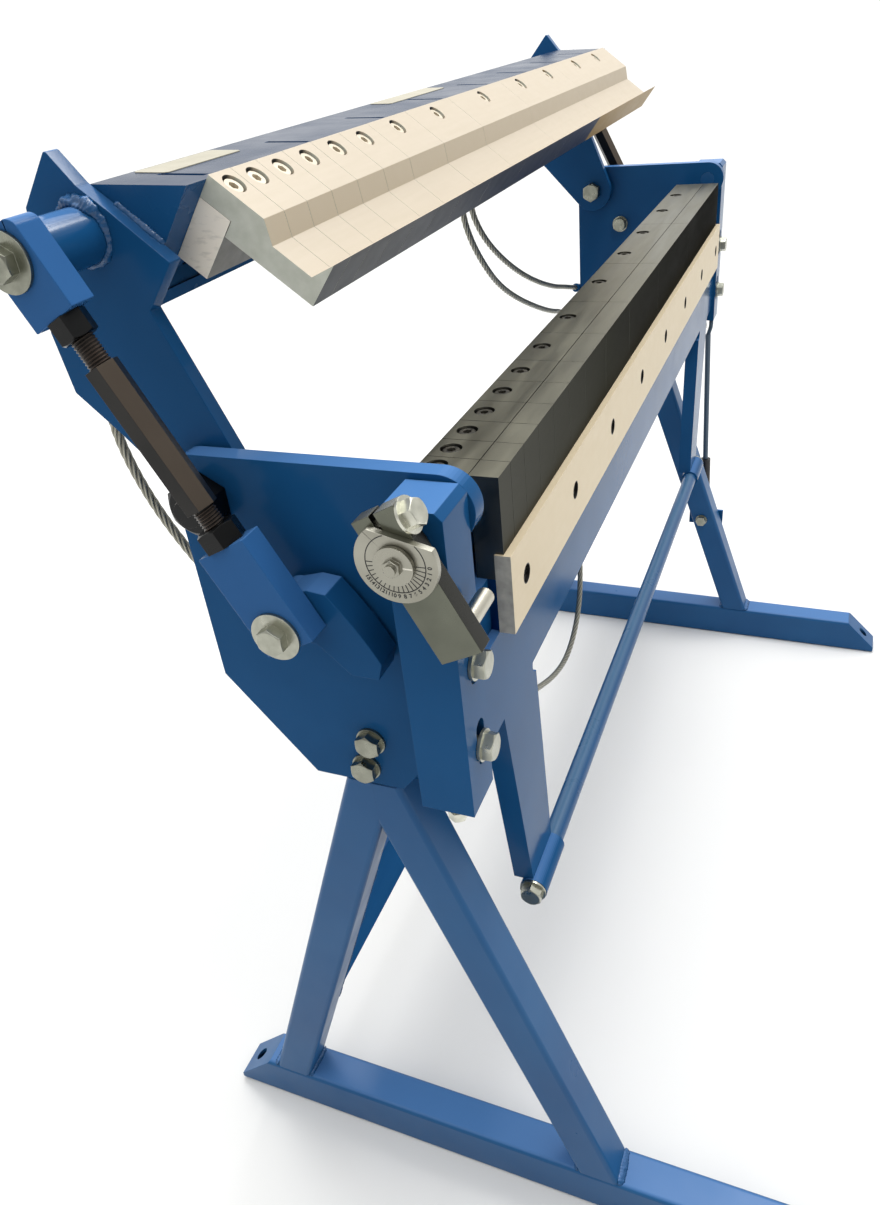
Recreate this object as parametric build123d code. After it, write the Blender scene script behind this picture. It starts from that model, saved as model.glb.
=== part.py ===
"""Hand sheet metal folder: segmented swing-up clamping beam, folding apron and A-frame stand.

Side outlines are measured from the bend line, the front top edge of the bed: y to the rear, z up.
The origin is on the floor under the middle of the bend line, which is also the middle of the anchors.
"""
import os
from math import acos, atan, cos, degrees, radians, sin, sqrt, tan

from build123d import *

# Working width and its tool segments, left to right
SEGMENTS = [25, 30, 35, 40, 45, 50, 75, 100, 150, 200, 270]
WORKING_WIDTH = sum(SEGMENTS)
PAIR_FROM = 200
PAIR_HALF_STEP = 53
SEAM = 0.3
BED_HEIGHT = 815

# Socket-head screws that hold the tools: thread, clearance hole and head room
TOOL_THREAD = 8
TOOL_HOLE = 9
TOOL_BORE = 16

# Side plates
PLATE_INNER = 545
PLATE_OUTER = 560
NOSE_RADIUS = 24
PLATE_REAR = 201
PLATE_FRONT = 41
PLATE_CHIN = -165
PLATE_BOTTOM = -252
PLATE_SOLE = (57, 134)
AXIS_DIAMETER = 20
RUNNING_GAP = 0.05
BOLT_GAP = 0.2
PLATE_THREAD = 12
PLATE_BOLTS = [(78, -206), (86, -234)]
TRAVEL_STOP = (133, -61)

# Stand
FOOT_HALF_LENGTH = 345
FOOT_HEIGHT = 58
TUBE = 40
TUBE_WALL = 4
TUBE_CORNER = 5
FOOT_NOSE = 10
STAND_INNER = PLATE_OUTER - TUBE
LEG_APEX = (85, -245)
LEG_SLOPE = 0.35
LEG_LEAN = atan(LEG_SLOPE)
HEAD_TOP = -190
HEAD_SPAN = (45, 125)
WELD_GAP = 1.5
ANCHOR_DIAMETER = 14
ANCHOR_HALF_SPACING = 325
TIE_LOW = 418
TIE_HEIGHT = 250
TIE_THICKNESS = 6

# Bed
BED_BLADE_DEPTH = 40
BED_BLADE_HEIGHT = 30
BLADE_GAP = 0.3
BED_WEB = (18, 38)
BED_FLANGE_FRONT = 2
BED_FLANGE_LOW = -55
BED_LOW = -250
BED_SCREW_Y = 27
BED_BORE_DEPTH = 14

# Clamping beam, drawn open; closing turns it forward about the pivot
PIVOT = (175, -9)
CLOSING_ANGLE = 52
TOE_CLOSED = (0.8, 0.4)
FINGER_HEIGHT = 94
TOE_REACH = 4.9
FINGER_BACK = 27
FLANGE_DEPTH = 15.5
FLANGE_HEIGHT = 24.3
FINGER_SCREW_S = 12
FINGER_BORE_DEPTH = 7.5
CARRIER = (44.5, 24)
BEAM_BACK = [(226, 189), (268, 150), (262, 108), (198, 114)]
BEAM_MOUTH = [(198, 122), (180, 122), (180, 132), (203, 138)]
BEAM_WALL = 8
ARM_INNER = 531
ARM_OUTER = 543
ARM_ROUND = 29
ARM_HEAD = [(243, 211), (226, 190), (206, 174.5), (170, 144.5), (182, 130), (195, 114.5)]
ARM_HEEL = [(251, 29.5), (279, 56.5), (284, 98.5), (271, 179)]
RIB_FIRST = -495
RIB_STEP = 133.5
RIB_COUNT = 8
RIB_THICKNESS = 6
RIB_SLOT = (164, 200)
RIB_TAB_TOP = 184.5
STUB_DIAMETER = 36
PIVOT_HEAD = (24, 12)
PIVOT_NUT = (36, 18)
PIVOT_STUD_END = 6

# Clamp toggle: turnbuckle links between beam stubs and cranks
UPPER_PIN = (230, 161.5)
LOWER_PIN = (105.5, -79)
CRANK_HUB = (66, -94)
CRANK_ROUND = 20
CRANK_TOP = [(90, -54.5), (76, -56)]
CRANK_HOLLOW = (56.5, -82)
CRANK_LOW = [(42, -107), (46, -121), (67, -121), (90, -98)]
SHAFT_DIAMETER = 25
LINK_INNER = 589
LINK_OUTER = 609
LINK_FORWARD = 2.5
CRANK_INNER = 563
CRANK_OUTER = 588
LINK_PIN_DIAMETER = 16
LINK_PIN_WASHER = 36
LINK_ROD_DIAMETER = 14
ROD_GRIP = 30
LOWER_NUT = (26, 14)
UPPER_NUT = (22, 15)
TURNBUCKLE_AF = 20
TURNBUCKLE_LENGTH = 103
TURNBUCKLE_LOW = 95.5
LOWER_EYE_WIDTH = 43
LOWER_EYE_END = 13
LOWER_EYE_TOP = 68
UPPER_EYE_WIDTH = 38
UPPER_EYE_END = 18
UPPER_EYE_LOW = 232
UPPER_EYE_ROUND = 8

# Apron
APRON_BLADE = (-21.5, -0.3)
APRON_HEAD_LOW = -58
APRON_SEAT = -79
STRIP_FRONT = -27
APRON_FACE = -15
TONGUE_BACK = -8
STRIP_LOW = -122
APRON_BACK = 14
APRON_LOW = -200
STRIP_HALF_LENGTH = 512
STRIP_SCREW_STEP = 137
STRIP_SCREW_COUNT = 8
STRIP_SCREW_Z = -90
STRIP_BORE = 14
STRIP_BORE_DEPTH = 7
BRACKET_INNER = 561
BRACKET_SIZE = 40
BRACKET_BEVEL = 5
BRACKET_LOW = -220
SLOT_X = 576
BOLT_HEIGHTS = (-102, -173)
SLOT_LENGTH = 38
SLOT_RISE = 3
ADJUST_THREAD = 12
HANDLE_AXIS = (-15, -440)
HANDLE_DIAMETER = 20
HANDLE_WALL = 3
HANDLE_ARM_TOP = (436, 516)
HANDLE_ARM_BACK = 4
HANDLE_NOTCH = 9
SLEEVE_DIAMETER = 26
SLEEVE_ENDS = (415, 476)
EAR = (20.2, 26.5)
EAR_SPAN = (-200, -79)
EAR_END = 588
BEAM_END = 560.7
EAR_WELD = 547
JACK_X = BRACKET_INNER + 24
JACK_THREAD = 8
JACK_DEPTH = 18
JACK_GAP = 12

# Angle stop on the left end of the bend axis; its bar is drawn along its own lean
STOP_INNER = 608
STOP_OUTER = 622
STOP_LEAN = 27
STOP_WIDTH = 30
STOP_TOP = -30.4
STOP_LOW = 71.6
STOP_BLOCK = (-16.5, -8)
STOP_SLIT = 3.5
STOP_THREAD = 10
STOP_BOLT_W = -20
STOP_BOLT_REACH = 22
STOP_WASHER = 23
STOP_PIN = (-31, -50)
STOP_PIN_DIAMETER = 12
STOP_PIN_LENGTH = 35
DIAL_DIAMETER = 52
DIAL_THICKNESS = 5
DIAL_FLAT = 16.3
DIAL_TILT = 14
HUB_DIAMETER = 25
HUB_STEPS = [0.4, 3.5, 6.5, 8.5]
HUB_FLATS = 10
HUB_STUD = 7

# Loose pieces at the back and on the right
STAY_X = 590
STAY_TOP = (-9, -252)
STAY_FOOT = (-21, -594.5)
STAY_DIAMETER = 9
STAY_SLEEVE = (230, 284)
STAY_SLEEVE_DIAMETER = 18
ROPE_DIAMETER = 8
SOCKET_DIAMETER = 14
SOCKET_LENGTH = 16
ROPE_LONG = [
    (-500, 258, 98), (-500, 281, 68), (-500, 297, 22), (-497, 290, -35), (-490, 270, -95),
    (-472, 243, -165), (-465, 190, -224), (-428, 150, -291), (-371, 113, -349), (-274, 94, -413),
    (-133, 92, -491), (-10, 98, -556), (62, 98, -566), (125, 100, -535), (163, 106, -478),
    (190, 118, -410), (240, 140, -350), (320, 168, -318), (408, 190, -306), (470, 203, -300),
    (506, 211, -283), (530, 216, -246), (522, 219, -208), (490, 219, -186), (430, 219, -169),
    (354, 220, -140), (272, 223, -104), (200, 225, -65), (150, 227, -23), (120, 230, 14),
    (106, 232, 48), (100, 231, 97),
]
ROPE_SHORT = [
    (163, 246, 97), (169, 246, 44), (186, 240, 6), (231, 235, -32), (297, 229, -72), (369, 223, -106),
    (452, 219, -136), (505, 217, -150), (541, 208, -161),
]


def at(x, y, z):
    """A point given from the bend line."""
    return Vector(x, y, BED_HEIGHT + z)


def side_plane(x):
    """A plane across the machine whose x is rearward and y is up, from the bend line."""
    return Plane(origin=at(x, 0, 0), x_dir=(0, 1, 0), z_dir=(1, 0, 0))


def front_plane(y):
    """A plane seen from the front whose x is to the right and y is up, from the bend line."""
    return Plane(origin=at(0, y, 0), x_dir=(1, 0, 0), z_dir=(0, -1, 0))


def polygon(*points):
    return make_face(Polyline(*points, close=True))


def slab(face, x0, x1):
    """A side outline given thickness between two stations along the machine."""
    return extrude(side_plane(x0) * face, amount=x1 - x0)


def front_slab(face, y0, y1):
    """A front outline given thickness from y0 back to y1."""
    return extrude(front_plane(y0) * face, amount=y0 - y1)


def span(y0, y1, z0, z1, x0, x1):
    return slab(polygon((y0, z0), (y1, z0), (y1, z1), (y0, z1)), x0, x1)


def bar(start, end, section):
    """A straight bar of one section between two points."""
    reach = Vector(end) - Vector(start)
    return extrude(Plane(origin=start, z_dir=reach) * section, amount=reach.length)


def rod(start, end, diameter):
    return bar(start, end, Circle(diameter / 2))


def hexagon(across_flats):
    return RegularPolygon(radius=across_flats / 2, side_count=6, major_radius=False)


def round_corner(face, point, radius):
    return fillet(face.vertices().sort_by_distance(point)[0], radius)


def hex_head(seat, top, across_flats):
    """A hexagon head or nut whose outer corners are turned off at thirty degrees."""
    reach = Vector(top) - Vector(seat)
    turned = 0.475 * across_flats
    cone = Cone(
        turned + reach.length * sqrt(3), turned, reach.length, align=(Align.CENTER, Align.CENTER, Align.MIN)
    )
    return bar(seat, top, hexagon(across_flats)) & (Plane(origin=seat, z_dir=reach) * cone)


def hex_bolt(seat, outward, thread, reach=0.0, washer=None):
    """A hexagon bolt with its washer, seated at a point with its head on the outward side."""
    outward = Vector(outward).normalized()
    washer_diameter = washer or 2 * thread
    top = seat + outward * (0.2 * thread)
    bolt = rod(seat, top, washer_diameter)
    bolt += hex_head(top, top + outward * (0.68 * thread), 1.55 * thread)
    if reach:
        bolt += rod(seat - outward * reach, seat, thread)
    return bolt


def socket_screw(seat, outward, thread, head_height):
    """A socket-head screw standing on a counterbore's floor, with a short shank below it."""
    outward = Vector(outward).normalized()
    top = seat + outward * head_height
    screw = rod(seat - outward * thread, top, 1.6 * thread) - rod(
        seat - outward * thread, seat, 4 * thread
    )
    screw += rod(seat - outward * thread, seat, thread)
    return screw - bar(top - outward * (0.5 * thread), top, hexagon(0.75 * thread))


def mirrored(shape):
    return mirror(shape, about=Plane.YZ)


def both(shape):
    """The right-hand piece together with its left-hand twin."""
    return [mirrored(shape), shape]


def save(name, *shapes):
    export_step(Compound(children=list(shapes)) if len(shapes) > 1 else shapes[0], f"parts/{name}.step")


def save_pair(name, *shapes):
    save(f"{name}_left", *[mirrored(shape) for shape in shapes])
    save(f"{name}_right", *shapes)


def segment_edges():
    """Left and right edge of each tool segment."""
    edges = []
    left = -WORKING_WIDTH / 2
    for width in SEGMENTS:
        edges.append((left, left + width))
        left += width
    return edges


def screw_places(left, right):
    """One clamping screw in the middle of a segment, or a pair in a wide one."""
    middle = (left + right) / 2
    if right - left < PAIR_FROM:
        return [middle]
    return [middle - PAIR_HALF_STEP, middle + PAIR_HALF_STEP]


def all_screw_places():
    return [x for edges in segment_edges() for x in screw_places(*edges)]


def seams(y0, y1, z0, z1):
    """Fine saw-cut gaps between the neighbouring segments of a blade row."""
    cuts = [span(y0, y1, z0, z1, right - SEAM, right + SEAM) for _, right in segment_edges()[:-1]]
    return Part() + cuts


# Stand: a welded A-frame at each end and one tie plate


def foot():
    """Foot tube with sloping closed ends and an anchor hole through each end."""
    slope = FOOT_HEIGHT - FOOT_NOSE
    floor = -BED_HEIGHT
    ends = FOOT_HALF_LENGTH
    middle = (STAND_INNER + PLATE_OUTER) / 2
    shell = slab(
        polygon(
            (-ends, floor), (ends, floor), (ends, floor + FOOT_NOSE), (ends - slope, floor + FOOT_HEIGHT),
            (slope - ends, floor + FOOT_HEIGHT), (-ends, floor + FOOT_NOSE),
        ),
        STAND_INNER, PLATE_OUTER,
    )
    tube = Pos(middle, floor + FOOT_HEIGHT / 2) * RectangleRounded(TUBE, FOOT_HEIGHT, TUBE_CORNER)
    shell &= front_slab(tube, -ends, ends)
    inset = TUBE_WALL
    low = floor + FOOT_NOSE - inset / 2
    hollow = slab(
        polygon(
            (inset - ends, floor + inset), (ends - inset, floor + inset), (ends - inset, low),
            (ends - slope - inset / 2, floor + FOOT_HEIGHT - inset),
            (slope - ends + inset / 2, floor + FOOT_HEIGHT - inset), (inset - ends, low),
        ),
        STAND_INNER + inset, PLATE_OUTER - inset,
    )
    body = shell - hollow
    for y in (-ANCHOR_HALF_SPACING, ANCHOR_HALF_SPACING):
        body -= rod(at(middle, y, floor), at(middle, y, floor + FOOT_HEIGHT), ANCHOR_DIAMETER)
    return body


def leg(rear):
    """Leg tube from the foot up to the mitre under the side plate; rear is +1 or -1."""
    apex_y, apex_z = LEG_APEX
    low = FOOT_HEIGHT - BED_HEIGHT
    top = PLATE_BOTTOM - WELD_GAP
    middle = (STAND_INNER + PLATE_OUTER) / 2
    beyond = 2 * TUBE

    def centre(z):
        return at(middle, apex_y + rear * LEG_SLOPE * (apex_z - z), z)

    def tube(size, corner, z0, z1):
        axis = Plane(origin=centre(z0), x_dir=(1, 0, 0), z_dir=centre(z1) - centre(z0))
        return extrude(axis * RectangleRounded(size, size, corner), amount=(z1 - z0) / cos(LEG_LEAN))

    wall = 2 * TUBE_WALL
    body = tube(TUBE, TUBE_CORNER, low - beyond, top + beyond)
    body -= tube(TUBE - wall, TUBE_CORNER - TUBE_WALL, low - beyond, top - beyond)
    reach = rear * FOOT_HALF_LENGTH
    return body & span(*sorted((apex_y, apex_y + reach)), low, top, STAND_INNER, PLATE_OUTER)


def stand_head():
    """Solid block on the leg tops that the side plate is bolted to."""
    block = span(*HEAD_SPAN, PLATE_BOTTOM - WELD_GAP, HEAD_TOP, STAND_INNER, PLATE_INNER)
    for y, z in PLATE_BOLTS:
        depth = at(PLATE_INNER - 16, y, z)
        block -= rod(depth, at(PLATE_INNER, y, z), PLATE_THREAD + 2 * BOLT_GAP)
    return block


def rear_tie():
    """Tie plate welded between the rear legs, leaning with them."""
    apex_y, apex_z = LEG_APEX
    down = Vector(sin(LEG_LEAN), -cos(LEG_LEAN))
    across = Vector(-cos(LEG_LEAN), -sin(LEG_LEAN))
    start = Vector(apex_y, apex_z) + down * (TIE_LOW - TIE_HEIGHT) + across * (TUBE / 4)
    corners = [start, start + down * TIE_HEIGHT]
    corners += [p + across * TIE_THICKNESS for p in reversed(corners)]
    return slab(polygon(*[(p.X, p.Y) for p in corners]), -STAND_INNER, STAND_INNER)


# Side plates and bed


def side_plate():
    """Side plate with a round nose about the bend axis and bores for the pivots and bolts."""
    face = polygon(
        (0, NOSE_RADIUS), (PLATE_REAR, NOSE_RADIUS), (PLATE_REAR, PLATE_CHIN),
        (PLATE_SOLE[1], PLATE_BOTTOM), (PLATE_SOLE[0], PLATE_BOTTOM), (PLATE_FRONT, PLATE_BOTTOM + 21),
        (PLATE_FRONT, -NOSE_RADIUS), (0, -NOSE_RADIUS),
    )
    face = round_corner(face, (PLATE_REAR, NOSE_RADIUS), 22)
    face = round_corner(face, (PLATE_FRONT, -NOSE_RADIUS), 12)
    face += Circle(NOSE_RADIUS)
    face -= Circle(AXIS_DIAMETER / 2)
    face -= Pos(*PIVOT) * Circle(AXIS_DIAMETER / 2)
    face -= Pos(*CRANK_HUB) * Circle(SHAFT_DIAMETER / 2 + RUNNING_GAP)
    for place in [*PLATE_BOLTS, TRAVEL_STOP]:
        face -= Pos(*place) * Circle(PLATE_THREAD / 2 + BOLT_GAP)
    return slab(face, PLATE_INNER, PLATE_OUTER)


def rope_plate():
    """Right side plate, with the socket of the short rope's end on its rear edge."""
    return side_plate() + rope_socket(at(*ROPE_SHORT[-1]), at(*ROPE_SHORT[-2]))


def plate_bolts():
    """Bolts through each side plate: into the stand, as travel stop, and as the beam's pivot."""
    depth = PLATE_OUTER - PLATE_INNER
    bolts = [
        hex_bolt(at(PLATE_OUTER, y, z), (1, 0, 0), PLATE_THREAD, reach=depth + PLATE_THREAD)
        for y, z in PLATE_BOLTS
    ]
    bolts.append(hex_bolt(at(PLATE_INNER, *TRAVEL_STOP), (-1, 0, 0), PLATE_THREAD, reach=depth))
    flats, height = PIVOT_HEAD
    seat = ARM_INNER - BLADE_GAP
    pivot = rod(at(seat, *PIVOT), at(PLATE_OUTER, *PIVOT), AXIS_DIAMETER)
    bolts.append(pivot + hex_head(at(seat, *PIVOT), at(seat - height, *PIVOT), flats))
    return bolts


def pivot_nut():
    """Nut of the beam's pivot outside the plate, with the stud's end standing out of it."""
    flats, height = PIVOT_NUT
    face = PLATE_OUTER + height
    nut = hex_head(at(PLATE_OUTER, *PIVOT), at(face, *PIVOT), flats)
    return nut + rod(at(face, *PIVOT), at(face + PIVOT_STUD_END, *PIVOT), AXIS_DIAMETER)


def axis_pins():
    """Fixed pins of the bend axis; the left one is longer and ends in an index hub."""
    right = rod(at(PLATE_INNER, 0, 0), at(BRACKET_INNER + BRACKET_SIZE, 0, 0), AXIS_DIAMETER)
    steps = [at(-STOP_OUTER - DIAL_THICKNESS - step, 0, 0) for step in HUB_STEPS]
    left = rod(at(-PLATE_INNER, 0, 0), steps[0], AXIS_DIAMETER)
    left += rod(steps[0], steps[1], HUB_DIAMETER)
    left += hex_head(steps[1], steps[2], HUB_FLATS)
    left += rod(steps[2], steps[3], HUB_STUD)
    return [left, right]


def bed_beam():
    """Upright web plate with a bar welded along its front that carries the blades' front half."""
    web_front, web_back = BED_WEB
    web = span(web_front, web_back, BED_LOW, -BED_BLADE_HEIGHT, -PLATE_INNER, PLATE_INNER)
    front_bar = span(
        BED_FLANGE_FRONT, web_front, BED_FLANGE_LOW, -BED_BLADE_HEIGHT, -PLATE_INNER, PLATE_INNER
    )
    return [web, front_bar]


def bed_blades():
    half = WORKING_WIDTH / 2
    blades = span(BLADE_GAP, BED_BLADE_DEPTH, -BED_BLADE_HEIGHT, 0, -half, half)
    blades -= seams(BLADE_GAP, BED_BLADE_DEPTH, -2.5, 0)
    for x in all_screw_places():
        floor = at(x, BED_SCREW_Y, -BED_BORE_DEPTH)
        blades -= rod(floor, at(x, BED_SCREW_Y, 0), TOOL_BORE)
        blades -= rod(at(x, BED_SCREW_Y, -BED_BLADE_HEIGHT), floor, TOOL_HOLE)
    return blades


def bed_screws():
    head = BED_BORE_DEPTH - 4
    return [
        socket_screw(at(x, BED_SCREW_Y, -BED_BORE_DEPTH), (0, 0, 1), TOOL_THREAD, head)
        for x in all_screw_places()
    ]


# Clamping beam


def clamp_edge_open():
    """Top front edge of the fingers with the beam open, as a (y, z) vector."""
    pivot = Vector(*PIVOT)
    toe_y, toe_z = TOE_CLOSED
    edge = Vector(toe_y + TOE_REACH, toe_z + FINGER_HEIGHT)
    return pivot + (edge - pivot).rotate(Axis.Z, -CLOSING_ANGLE)


def tool_plane(x):
    """Plane of the open finger: x runs down its front, y runs back from its front."""
    edge = clamp_edge_open()
    down = Vector(0, -sin(radians(CLOSING_ANGLE)), -cos(radians(CLOSING_ANGLE)))
    return Plane(origin=at(x, edge.X, edge.Y), x_dir=down, z_dir=(1, 0, 0))


def tool_slab(face, x0, x1):
    return extrude(tool_plane(x0) * face, amount=x1 - x0)


def tool_point(x, s, t):
    return tool_plane(x).from_local_coords(Vector(s, t, 0))


def tool_back():
    """Direction into the beam, square to the fingers' front."""
    return tool_point(0, 0, 1) - tool_point(0, 0, 0)


def finger_face():
    """Goat-foot profile: clamping flange, waist and a toe that leads forward to the bend line."""
    return polygon(
        (0, 0), (42.6, 0), (54.5, 11.1), (84.9, 11.1), (FINGER_HEIGHT, -TOE_REACH),
        (FINGER_HEIGHT, FINGER_BACK), (FLANGE_HEIGHT, FINGER_BACK), (FLANGE_HEIGHT, FLANGE_DEPTH),
        (0, FLANGE_DEPTH),
    )


def finger(left, right):
    body = tool_slab(finger_face(), left + SEAM / 2, right - SEAM / 2)
    for x in screw_places(left, right):
        front = tool_point(x, FINGER_SCREW_S, 0)
        floor = tool_point(x, FINGER_SCREW_S, FINGER_BORE_DEPTH)
        back = tool_point(x, FINGER_SCREW_S, FLANGE_DEPTH)
        body -= rod(front, floor, TOOL_BORE)
        body -= rod(floor, back, TOOL_HOLE)
    return body


def finger_screws():
    outward = -tool_back()
    head = FINGER_BORE_DEPTH - 1.5
    return [
        socket_screw(tool_point(x, FINGER_SCREW_S, FINGER_BORE_DEPTH), outward, TOOL_THREAD, head)
        for x in all_screw_places()
    ]


def carrier_bar():
    depth, height = CARRIER
    face = polygon(
        (0, FLANGE_DEPTH), (height, FLANGE_DEPTH), (height, FLANGE_DEPTH + depth),
        (0, FLANGE_DEPTH + depth),
    )
    half = WORKING_WIDTH / 2
    return tool_slab(face, -half, half)


def beam_corners():
    """Outer corners of the beam section, from its front edge round the back to its lower lip."""
    front = tool_point(0, 0, 3)
    seat_end = tool_point(0, 0, FLANGE_DEPTH + CARRIER[0])
    return [(seat_end.Y, seat_end.Z - BED_HEIGHT), (front.Y, front.Z - BED_HEIGHT), *BEAM_BACK]


def beam_box():
    """Welded beam, open along its lower front, with end caps and ribs tabbed into the top plate."""
    outer = polygon(*beam_corners())
    inner = offset(outer, amount=-BEAM_WALL)
    shell = slab(outer - inner - polygon(*BEAM_MOUTH), -ARM_INNER, ARM_INNER)
    shell += both(slab(inner, ARM_INNER - BEAM_WALL, ARM_INNER))
    slot_front, slot_back = RIB_SLOT
    for k in range(RIB_COUNT):
        left = RIB_FIRST + k * RIB_STEP - RIB_THICKNESS / 2
        right = left + RIB_THICKNESS
        shell += slab(inner, left, right)
        shell -= span(slot_front, slot_back, RIB_TAB_TOP, RIB_TAB_TOP + BEAM_WALL, left, right)
    for first, second in (ROPE_LONG[:2], ROPE_LONG[:-3:-1], ROPE_SHORT[:2]):
        shell += rope_socket(at(*first), at(*second))
    return shell


def rope_socket(end, inward):
    """Welded socket under the beam, just clear of the rope end that hangs from it."""
    up = (end - inward).normalized()
    mouth = end + up * 0.5
    return rod(mouth, mouth + up * SOCKET_LENGTH, SOCKET_DIAMETER)


def round_tangent(outside, turn):
    """Point where a line from an outside point touches the round of the pivot eye; turn is +1 or -1."""
    pivot = Vector(*PIVOT)
    reach = Vector(*outside) - pivot
    spread = degrees(acos(ARM_ROUND / reach.length))
    touch = pivot + reach.normalized().rotate(Axis.Z, turn * spread) * ARM_ROUND
    return touch.X, touch.Y


def beam_arm():
    """End plate of the beam with its pivot eye and the welded stub for the link."""
    face = polygon(
        *ARM_HEAD, round_tangent(ARM_HEAD[-1], 1), PIVOT, round_tangent(ARM_HEEL[0], -1), *ARM_HEEL
    )
    face = round_corner(face, ARM_HEAD[0], 2)
    face = round_corner(face, ARM_HEAD[1], 16)
    face += Pos(*PIVOT) * Circle(ARM_ROUND)
    face -= Pos(*PIVOT) * Circle(AXIS_DIAMETER / 2 + RUNNING_GAP)
    arm = slab(face, ARM_INNER, ARM_OUTER)
    shoulder = LINK_INNER - 0.5
    stub = rod(at(ARM_OUTER, *UPPER_PIN), at(shoulder, *UPPER_PIN), STUB_DIAMETER)
    pin = rod(at(shoulder, *UPPER_PIN), at(LINK_OUTER + 0.5, *UPPER_PIN), LINK_PIN_DIAMETER)
    return arm + stub + pin


# Clamp toggle


def link_axis():
    """Unit vectors up the link and out of its front edge, and the distance of its pins."""
    reach = Vector(*UPPER_PIN) - Vector(*LOWER_PIN)
    along = reach.normalized()
    return along, along.rotate(Axis.Z, 90), reach.length


def link_place(distance, forward):
    """Side point measured up the link from the lower pin and forward from the line of its pins."""
    along, front, _ = link_axis()
    place = Vector(*LOWER_PIN) + along * distance + front * forward
    return place.X, place.Y


def on_link(distance):
    """Point on the centre line of the link's rods."""
    return at((LINK_INNER + LINK_OUTER) / 2, *link_place(distance, LINK_FORWARD))


def eye_face(start, end, width):
    """Square-ended outline of one link eye."""
    rear = LINK_FORWARD - width / 2
    front = LINK_FORWARD + width / 2
    return polygon(
        link_place(start, rear), link_place(end, rear), link_place(end, front), link_place(start, front)
    )


def link_eyes():
    """Flat eye blocks of the link: the lower one solid, the upper one bored for the beam's pin."""
    top = link_axis()[2] + UPPER_EYE_END
    lower = eye_face(-LOWER_EYE_END, LOWER_EYE_TOP, LOWER_EYE_WIDTH)
    upper = eye_face(UPPER_EYE_LOW, top, UPPER_EYE_WIDTH)
    upper = round_corner(upper, link_place(top, LINK_FORWARD + UPPER_EYE_WIDTH / 2), UPPER_EYE_ROUND)
    upper -= Pos(*UPPER_PIN) * Circle(LINK_PIN_DIAMETER / 2 + RUNNING_GAP)
    return [slab(face, LINK_INNER, LINK_OUTER) for face in (lower, upper)]


def crank_shaft():
    """Cross shaft with a thick curved crank welded on each end, behind the lower link eyes."""
    y, z = LOWER_PIN
    high = (y, z + CRANK_ROUND)
    low = (y, z - CRANK_ROUND)
    outline = Polyline(high, *CRANK_TOP)
    outline += ThreePointArc(CRANK_TOP[-1], CRANK_HOLLOW, CRANK_LOW[0])
    outline += Polyline(*CRANK_LOW, low)
    outline += ThreePointArc(low, (y + CRANK_ROUND, z), high)
    crank = slab(make_face(outline), CRANK_INNER, CRANK_OUTER)
    shaft = rod(at(-CRANK_INNER, *CRANK_HUB), at(CRANK_INNER, *CRANK_HUB), SHAFT_DIAMETER)
    return shaft + crank + mirrored(crank)


def link_rods():
    """Threaded rods of a link with their lock nuts."""
    flats, height = LOWER_NUT
    low = rod(on_link(LOWER_EYE_TOP), on_link(TURNBUCKLE_LOW + ROD_GRIP), LINK_ROD_DIAMETER)
    low += hex_head(on_link(LOWER_EYE_TOP), on_link(LOWER_EYE_TOP + height), flats)
    flats, height = UPPER_NUT
    grip = TURNBUCKLE_LOW + TURNBUCKLE_LENGTH - ROD_GRIP
    high = rod(on_link(grip), on_link(UPPER_EYE_LOW), LINK_ROD_DIAMETER)
    high += hex_head(on_link(UPPER_EYE_LOW), on_link(UPPER_EYE_LOW - height), flats)
    return [low, high]


def turnbuckle():
    low = on_link(TURNBUCKLE_LOW)
    high = on_link(TURNBUCKLE_LOW + TURNBUCKLE_LENGTH)
    return bar(low, high, hexagon(TURNBUCKLE_AF)) - rod(low, high, LINK_ROD_DIAMETER + 2 * RUNNING_GAP)


def pin_bolt(pin, seat):
    """Large washer and bolt on the outer end of a link pin."""
    return hex_bolt(at(seat, *pin), (1, 0, 0), 12, washer=LINK_PIN_WASHER)


# Apron


def apron_blades():
    front, back = APRON_BLADE
    half = WORKING_WIDTH / 2
    face = polygon(
        (front, 0), (back, 0), (back, APRON_SEAT), (TONGUE_BACK, APRON_SEAT),
        (TONGUE_BACK, STRIP_LOW), (APRON_FACE, STRIP_LOW), (APRON_FACE, APRON_HEAD_LOW),
        (front, APRON_HEAD_LOW),
    )
    blades = slab(face, -half, half)
    blades -= seams(front, back, -1.5, 0)
    blades -= seams(front, front + 1.5, APRON_HEAD_LOW, 0)
    for x in strip_screw_places():
        blades -= rod(at(x, APRON_FACE, STRIP_SCREW_Z), at(x, TONGUE_BACK, STRIP_SCREW_Z), TOOL_HOLE)
    return blades


def strip_screw_places():
    first = (1 - STRIP_SCREW_COUNT) / 2 * STRIP_SCREW_STEP
    return [first + k * STRIP_SCREW_STEP for k in range(STRIP_SCREW_COUNT)]


def clamp_strip():
    """Strip that clamps the apron's blades, bored for its screws."""
    strip = span(
        STRIP_FRONT, APRON_FACE, STRIP_LOW, APRON_HEAD_LOW, -STRIP_HALF_LENGTH, STRIP_HALF_LENGTH
    )
    for x in strip_screw_places():
        floor = at(x, STRIP_FRONT + STRIP_BORE_DEPTH, STRIP_SCREW_Z)
        strip -= rod(at(x, STRIP_FRONT, STRIP_SCREW_Z), floor, STRIP_BORE)
        strip -= rod(floor, at(x, APRON_FACE, STRIP_SCREW_Z), TOOL_HOLE)
    return strip


def strip_screws():
    floor = STRIP_FRONT + STRIP_BORE_DEPTH
    head = STRIP_BORE_DEPTH - 2
    return [
        socket_screw(at(x, floor, STRIP_SCREW_Z), (0, -1, 0), TOOL_THREAD, head) for x in strip_screw_places()
    ]


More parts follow.
